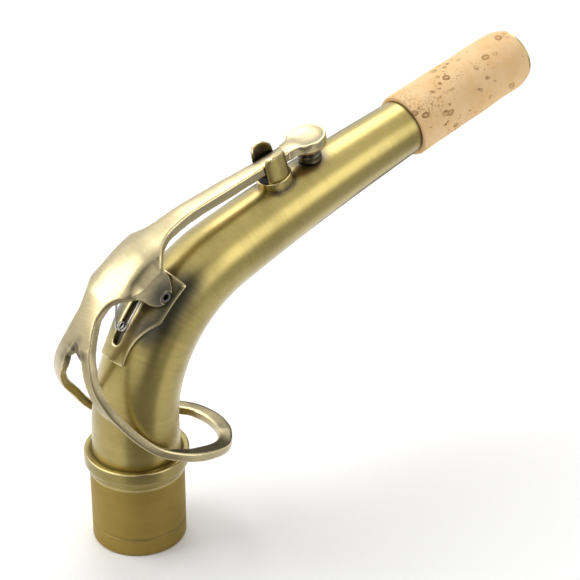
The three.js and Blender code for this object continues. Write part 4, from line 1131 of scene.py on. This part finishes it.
def tube_drop(y, surface):
    """How far the tube's surface lies below its crest at the side: R - sqrt(R^2 - y^2)."""
    return surface - np.sqrt(np.maximum(surface ** 2 - y ** 2, 0))


def guide_base_shape():
    """The guide's cup: a short round wall whose points drop with the tube, the more the lower they are."""
    surface = guide_surface()
    low, top = surface + BASE_LOW, surface + BASE_TOP
    outline = [(BASE_BORE, low), (BASE_RADIUS, low), (BASE_RADIUS, top), (BASE_BORE, top)]
    loop = soft_loop(outline, [0.05, 0.05, 0.22, 0.15], 0.4)
    angle = around(96)
    grid = turned(loop, angle)
    share = np.clip((top - grid[..., 2]) / 2.3, 0, 1)
    grid[..., 2] -= (tube_drop(grid[..., 1], surface) + 0.05) * share
    return Shape().add(placed(grid, stand_at(GUIDE_STATION)), surface_map=wrapped_map(loop, angle))


def fork_shape():
    """The fork: a floor disc that follows the tube below, and two wings that are stretches of a round
    wall with arched tops."""
    surface, place, angle = guide_surface(), stand_at(GUIDE_STATION), around(72)
    radius, low, floor = FORK_RADIUS - 0.05, surface + 0.25, surface + 1.05
    disc = np.array([(1e-4, low), (radius, low), (radius, floor), (1e-4, floor)])
    grid = turned(disc, angle)
    grid[..., 2] -= np.where(grid[..., 2] < surface + 0.5, tube_drop(grid[..., 1], surface), 0)
    shape = Shape().add(placed(grid, place), surface_map=wrapped_map(disc, angle))
    for side in (-1, 1):
        shape.add(placed(wing_grid(side, surface), place))
    return shape


def wing_grid(side, surface):
    """One wing as closed loops: its outline in (x, height) is laid on the outer and the inner cylinder.
    Its top is a rounded arch, x = half cos^0.78 and height = rise sin^0.78, on straight sides."""
    shoulder, top, foot = surface + WING_SHOULDER, surface + WING_TOP, surface + WING_FOOT
    turn = np.linspace(0, np.pi, 30)
    arch = np.stack([WING_HALF * np.sign(np.cos(turn)) * np.abs(np.cos(turn)) ** 0.78,
                     shoulder + (top - shoulder) * np.sin(turn) ** 0.78], axis=-1)
    loop = divided(np.concatenate([arch, [(-WING_HALF, foot), (WING_HALF, foot)]]), 0.5)
    centre = np.array([0.0, surface + WING_MIDDLE])
    rows = []
    for share, inset, deep in ((1e-3, 0, 0), (0.5, 0, 0), (0.8, 0, 0), (1, 0.15, 0), (1, 0, 0.2),
                               (1, 0, 0.8), (1, 0.15, 1), (0.8, 0, 1), (0.5, 0, 1), (1e-3, 0, 1)):
        rows.append(wing_row(shrunk(loop, centre, share, inset), side, FORK_RADIUS - WING_WALL * deep))
    return np.stack(rows)


def wing_row(flat, side, radius):
    """Points (x, height) on a cylinder whose ends straighten at the slot, leaning out as they rise: y is
    the larger of sqrt(radius^2 - x^2) and half the slot, plus a twentieth of the height above the foot."""
    y = np.sqrt(np.maximum(radius ** 2 - np.minimum(np.abs(flat[:, 0]), radius * 0.92) ** 2, 0))
    y = np.maximum(y, FORK_SLOT) + 0.05 * (flat[:, 1] - flat[:, 1].min())
    return np.stack([flat[:, 0], side * y, flat[:, 1]], axis=-1)


def felt_shape():
    """The felt block: a disc cut to the slot's width, with soft edges."""
    low, high, angle = guide_surface() + FELT_LOW, guide_surface() + FELT_TOP, around(96)
    x, y = FELT_RADIUS * np.cos(angle), np.clip(FELT_RADIUS * np.sin(angle), -FELT_HALF, FELT_HALF)
    rows = []
    for scale, height in ((1e-3, low), (0.94, low), (1.0, low + 0.25), (1.0, high - 0.35),
                          (0.95, high - 0.06), (0.85, high), (1e-3, high)):
        rows.append(np.stack([x * scale, y * scale, np.full_like(x, height)], axis=-1))
    return Shape().add(placed(np.stack(rows), stand_at(GUIDE_STATION)))


# Screws and spring.

def screw_shape(side):
    """A pivot screw: a bevelled round head with a deep socket, and a shank that reaches into the lug."""
    hinge = neck_point(HINGE_STATION, HINGE_HEIGHT, 0.0)
    outline = [(1e-4, 6.6), (0.72, 6.6), (0.78, 8.02), (1.6, 8.02), (1.6, 7.2), (0.95, 7.2), (0.95, 4.5),
               (1e-4, 4.5)]
    loop = soft_loop(outline, [0, 0.05, 0.12, 0.28, 0.05, 0.05, 0.2, 0], 0.4)
    axes = np.array([(1, 0, 0), (0, 0, -side), (0, side, 0), hinge], dtype=float).T
    return turning(loop, axes, 48)


# The spring's coil: the station and height of its middle, its radius, and the distance from one turn to
# the next. Then the ends of its two legs, as station and height.
COIL_PLACE, COIL_RADIUS, COIL_PITCH = (57.8, 12.1), 1.05, 1.06
LOW_LEG_END, HIGH_LEG_END = (64.4, 11.0), (65.3, 20.75)


def spring_path():
    """The wire's line: a straight leg along the slot, a coil, and a leg to the plate. The legs leave the
    coil along its tangents, which touch it at arccos(r / d) from the bearing of a leg's end at distance d."""
    centre, low, high = (neck_point(*place, 0.0) for place in (COIL_PLACE, LOW_LEG_END, HIGH_LEG_END))
    radius = COIL_RADIUS

    def bearing(end, side):
        """The coil's angle at which the leg from an end touches it."""
        gap = end - centre
        return math.atan2(gap[2], gap[0]) + side * math.acos(radius / np.linalg.norm(gap))

    start, finish = bearing(low, -1), bearing(high, 1) - 4 * math.pi
    width = (start - finish) / (2 * math.pi) * COIL_PITCH / 2
    angle = np.linspace(start, finish, 90)
    coil = np.stack([centre[0] + radius * np.cos(angle), np.linspace(-width, width, 90),
                     centre[2] + radius * np.sin(angle)], axis=-1)
    step = np.linspace(0, 1, 14, endpoint=False)[:, None]
    low_leg = (low * [1, 0, 1] + [0, -width, 0]) * (1 - step) + coil[0] * step
    high_leg = coil[-1] * step[::-1] + (high * [1, 0, 1] + [0, width, 0]) * (1 - step[::-1])
    return np.concatenate([low_leg, coil, high_leg])


def wire_grid(path, radius):
    """A round wire: circles square to the path, with ends that close on it."""
    along = np.gradient(path, axis=0)
    along /= np.linalg.norm(along, axis=1, keepdims=True)
    across = np.cross(along, [0, 1, 0])
    across /= np.linalg.norm(across, axis=1, keepdims=True)
    third = np.cross(across, along)
    angle = around(14)[None, :, None]
    return path[:, None] + radius * (across[:, None] * np.cos(angle) + third[:, None] * np.sin(angle))


def spring_shape():
    """The spring: a round wire along its path, closed at both ends."""
    return Shape().add(capped(wire_grid(spring_path(), size_of("wire"))), wrap_rows=False)


# Operators.

# Each piece's shape, the body that it rides on and its slot, and the pieces whose finish isn't the one
# that their slot is named for.
PIECES = {
    "neck_tube": (tube_shape, "neck", "tube_brass"),
    "tenon": (tenon_shape, "neck", "tenon_brass"),
    "collar_ring": (collar_shape, "neck", "tube_brass"),
    "tip_ring": (tip_ring_shape, "neck", "tube_brass"),
    "neck_cork": (cork_shape, "neck", "cork"),
    "hinge_bracket": (bracket_shape, "neck", "dark_brass"),
    "octave_pip": (pip_shape, "neck", "dark_brass"),
    "guide_base": (guide_base_shape, "neck", "tube_brass"),
    "guide_fork": (fork_shape, "neck", "tube_brass"),
    "guide_felt": (felt_shape, "neck", "felt"),
    "pivot_screw_near": (lambda: screw_shape(-1), "neck", "steel"),
    "pivot_screw_far": (lambda: screw_shape(1), "neck", "steel"),
    "key_spring": (spring_shape, "neck", "spring_steel"),
    "pad_cup": (cup_shape, "octave_key", "key_brass"),
    "octave_pad": (pad_shape, "octave_key", "pad_leather"),
}
# The pip's finish is the bracket brass darkened as painted shade under the cup.
OTHER_FINISHES = {"collar_ring": "collar_brass", "octave_pip": "pip_brass"}


def build(*names):
    """Makes the pieces with these names, each from its row of the table."""
    for name in names:
        shape, body, slot = PIECES[name]
        finish = finish_of(OTHER_FINISHES.get(name, slot))
        add_piece(name + "_look", shape().mesh(name), body, finish, [name])
    return {"FINISHED"}


class NECK_OT_tube(bpy.types.Operator):
    """Build the bent tube, its tenon, its collar and the ring at its tip"""

    bl_idname = "neck.tube"
    bl_label = "Tube and rings"

    def execute(self, context):
        return build("neck_tube", "tenon", "collar_ring", "tip_ring")


class NECK_OT_cork(bpy.types.Operator):
    """Build the cork sleeve"""

    bl_idname = "neck.cork"
    bl_label = "Cork"

    def execute(self, context):
        return build("neck_cork")


class NECK_OT_bracket(bpy.types.Operator):
    """Build the hinge bracket and its two pivot screws"""

    bl_idname = "neck.bracket"
    bl_label = "Hinge bracket"

    def execute(self, context):
        return build("hinge_bracket", "pivot_screw_near", "pivot_screw_far")


class NECK_OT_guide(bpy.types.Operator):
    """Build the arm's guide with its felt, and the pip"""

    bl_idname = "neck.guide"
    bl_label = "Guide and pip"

    def execute(self, context):
        return build("guide_base", "guide_fork", "guide_felt", "octave_pip")


class NECK_OT_spring(bpy.types.Operator):
    """Build the wire spring"""

    bl_idname = "neck.spring"
    bl_label = "Spring"

    def execute(self, context):
        return build("key_spring")


class NECK_OT_key(bpy.types.Operator):
    """Build the octave key with its cup and pad"""

    bl_idname = "neck.key"
    bl_label = "Octave key"

    def execute(self, context):
        finish = finish_of("key_brass")
        add_piece("key_body_look", key_mesh(), "octave_key", finish, ["key_body"])
        return build("pad_cup", "octave_pad")


# Stage.

# The camera, fitted to the photo: its angles round and above the target and its roll, its distance in
# millimetres, the pixels of a millimetre at the target, how far the camera is shifted in millimetres to
# the left and down, and the picture's width in pixels and the sensor's in millimetres.
AZIMUTH, ELEVATION, ROLL = math.radians(-40.19247), math.radians(29.57206), math.radians(0.310644)
DISTANCE, ZOOM = 499.51, 3.83507691
TARGET = Vector((60, 0, 80))
SHIFT_RIGHT, SHIFT_UP = 6.75734, 25.64921
FRAME_PIXELS, SENSOR = 580.0, 36.0

# The object's middle, which lamps and cards face, in millimetres, and the light that the surround gives.
MIDDLE = (55.0, 0.0, 60.0)
SURROUND_LIGHT = 0.55
# Lamps: direction from the middle, distance, width and length in metres, and radiance.
LAMPS = {
    "light_back": ((0.30, 0.42, 0.85), 0.8, 0.55, 0.45, 4.2),
    "light_left": ((-0.55, 0.45, 0.70), 0.8, 0.60, 0.45, 3.4),
    "light_front": ((0.36, -0.85, 0.40), 0.9, 0.45, 0.50, 1.8),
}
# Cards that face the middle: direction from it, distance, width and length in millimetres, tone and glow.
FACING_CARDS = {
    "card_bright": ((-0.62, 0.42, 0.66), 700, 900, 420, 0.8, 3.9),
    "card_high": ((-0.15, 0.66, 0.68), 700, 340, 420, 0.6, 0.9),
    "card_camera": ((-0.42, -0.80, 0.42), 700, 330, 700, 0.08, 0.0),
}
# Cards by their corners in millimetres, and their tone.
CORNER_CARDS = {
    "card_behind": ([(85, 95, 2), (150, 12, 2), (150, 12, 88), (85, 95, 88)], 0.03),
    "card_low": ([(110, -60, -0.03), (2000, -60, -0.03), (2000, -2500, -0.03), (110, -2500, -0.03)], 0.5),
    "card_near": ([(-42, -24, -0.03), (8, -47, -0.03), (380, -2166, -0.03), (-1905, -1100, -0.03)], 0.25),
}
# Half the floor's side, and its height, just under the object.
FLOOR_HALF, FLOOR_LEVEL = 4000.0, -0.05


def camera_axes():
    """The camera's right, up and back. Unrolled, back is (sin a cos e, -cos a cos e, sin e) and right is
    (cos a, sin a, 0) for the azimuth a and the elevation e. The roll turns right and up about back."""
    back = Vector((math.sin(AZIMUTH) * math.cos(ELEVATION), -math.cos(AZIMUTH) * math.cos(ELEVATION),
                   math.sin(ELEVATION)))
    right = Vector((math.cos(AZIMUTH), math.sin(AZIMUTH), 0))
    up = back.cross(right)
    return (math.cos(ROLL) * right + math.sin(ROLL) * up, math.cos(ROLL) * up - math.sin(ROLL) * right, back)


def add_camera():
    """The camera: back from the target by its distance, and less its shifts along its own right and up.
    Its lens is zoom x distance x sensor / frame."""
    right, up, back = camera_axes()
    data = bpy.data.cameras.new("camera")
    data.sensor_width, data.lens = SENSOR, ZOOM * DISTANCE / FRAME_PIXELS * SENSOR
    data.clip_start, data.clip_end = 0.01, 10.0
    camera = bpy.data.objects.new("camera", data)
    bpy.context.collection.objects.link(camera)
    place = (TARGET + DISTANCE * back - SHIFT_RIGHT * right - SHIFT_UP * up) * MM
    camera.matrix_world = Matrix.Translation(place) @ Matrix((right, up, back)).transposed().to_4x4()
    bpy.context.scene.camera = camera


def add_lamp(name, direction, distance, width, length, radiance):
    """A soft box that looks at the object's middle: its width lies level, and its power is the radiance
    times pi times its area."""
    data = bpy.data.lights.new(name, "AREA")
    data.shape, data.size, data.size_y = "RECTANGLE", width, length
    data.energy = radiance * math.pi * width * length
    light = bpy.data.objects.new(name, data)
    bpy.context.collection.objects.link(light)
    way = Vector(direction).normalized()
    light.location = Vector([part * MM for part in MIDDLE]) + way * distance
    light.rotation_euler = way.to_track_quat("Z", "Y").to_euler()


def flat_piece(name, corners, **sockets):
    """A plane with four corners in millimetres and a finish without gloss."""
    mesh = bpy.data.meshes.new(name)
    mesh.from_pydata((np.asarray(corners, dtype=float) * MM).tolist(), [], [(0, 1, 2, 3)])
    m = Maker(name)
    m.set(Specular_IOR_Level=0.0, **sockets)
    mesh.materials.append(m.material)
    piece = bpy.data.objects.new(name, mesh)
    bpy.context.collection.objects.link(piece)
    return piece


def add_card(name, corners, tone, glow=0.0):
    """A card that only reflections see, which gives the polished brass its darker and brighter bands."""
    card = flat_piece(name, corners, Base_Color=(tone, tone, tone), Roughness=1.0, Emission_Color=(1, 1, 1),
                      Emission_Strength=glow)
    card.visible_camera = card.visible_diffuse = card.visible_shadow = card.visible_transmission = False


def facing_card(direction, distance, width, length):
    """Corners of a card that faces the object's middle from a direction."""
    way = Vector(direction).normalized()
    facing = way.to_track_quat("Z", "Y")
    across, along = np.array(facing @ Vector((1, 0, 0))), np.array(facing @ Vector((0, 1, 0)))
    centre = np.array(MIDDLE) + np.array(way) * distance
    return [centre + across * s * width / 2 + along * t * length / 2
            for s, t in ((-1, -1), (1, -1), (1, 1), (-1, 1))]


def add_floor():
    """The pale floor."""
    corners = [(x * FLOOR_HALF, y * FLOOR_HALF, FLOOR_LEVEL) for x, y in ((-1, -1), (-1, 1), (1, 1), (1, -1))]
    floor = flat_piece("floor", corners, Base_Color=colour_of("floor"), Roughness=0.9)


def add_world(strength):
    """A white surround for the camera and for reflections, and a softer one for the light it gives."""
    world = bpy.data.worlds.new("studio")
    bpy.context.scene.world = world
    world.use_nodes = True
    tree = world.node_tree
    back = tree.nodes["Background"]
    back.inputs["Color"].default_value = (1, 1, 1, 1)
    path = tree.nodes.new("ShaderNodeLightPath")
    total = path.outputs["Is Camera Ray"]
    for other in ("Is Glossy Ray", "Is Transmission Ray"):
        top = tree.nodes.new("ShaderNodeMath")
        top.operation = "MAXIMUM"
        tree.links.new(total, top.inputs[0])
        tree.links.new(path.outputs[other], top.inputs[1])
        total = top.outputs[0]
    level = tree.nodes.new("ShaderNodeMapRange")
    level.inputs["To Min"].default_value = strength
    level.inputs["To Max"].default_value = 1.0
    tree.links.new(total, level.inputs["Value"])
    tree.links.new(level.outputs["Result"], back.inputs["Strength"])


class NECK_OT_stage(bpy.types.Operator):
    """Set up the floor, the studio light, the cards that only reflections see, and the camera"""

    bl_idname = "neck.stage"
    bl_label = "Stage"

    def execute(self, context):
        add_floor()
        add_world(SURROUND_LIGHT)
        for name, lamp in LAMPS.items():
            add_lamp(name, *lamp)
        for name, (direction, distance, width, length, tone, glow) in FACING_CARDS.items():
            add_card(name, facing_card(direction, distance, width, length), tone, glow)
        for name, (corners, tone) in CORNER_CARDS.items():
            add_card(name, corners, tone)
        add_camera()
        context.scene.view_settings.view_transform = "Standard"
        return {"FINISHED"}


class NECK_PT_panel(bpy.types.Panel):
    """Lists the pieces, the sizes and the colours"""

    bl_label = "Saxophone neck"
    bl_idname = "NECK_PT_panel"
    bl_space_type = "VIEW_3D"
    bl_region_type = "UI"
    bl_category = "Neck"

    def draw(self, context):
        column = self.layout.column()
        for operator in OPERATORS:
            column.operator(operator.bl_idname)
        for group in (context.scene.neck_sizes, context.scene.neck_colours):
            for name in group.bl_rna.properties.keys():
                if name not in ("rna_type", "name"):
                    column.prop(group, name)


OPERATORS = (NECK_OT_tube, NECK_OT_cork, NECK_OT_bracket, NECK_OT_guide, NECK_OT_spring, NECK_OT_key,
             NECK_OT_stage)
CLASSES = (NeckSizes, NeckColours, *OPERATORS, NECK_PT_panel)


def register():
    """Makes the classes known, and hangs the sizes and colours on the scene."""
    for item in CLASSES:
        bpy.utils.register_class(item)
    bpy.types.Scene.neck_sizes = bpy.props.PointerProperty(type=NeckSizes)
    bpy.types.Scene.neck_colours = bpy.props.PointerProperty(type=NeckColours)


def unregister():
    """Takes back what register did."""
    del bpy.types.Scene.neck_colours
    del bpy.types.Scene.neck_sizes
    for item in reversed(CLASSES):
        bpy.utils.unregister_class(item)


def main():
    """Builds everything in order."""
    register()
    bpy.ops.neck.tube()
    bpy.ops.neck.cork()
    bpy.ops.neck.bracket()
    bpy.ops.neck.guide()
    bpy.ops.neck.spring()
    bpy.ops.neck.key()
    bpy.ops.neck.stage()


if __name__ == "__main__":
    main()
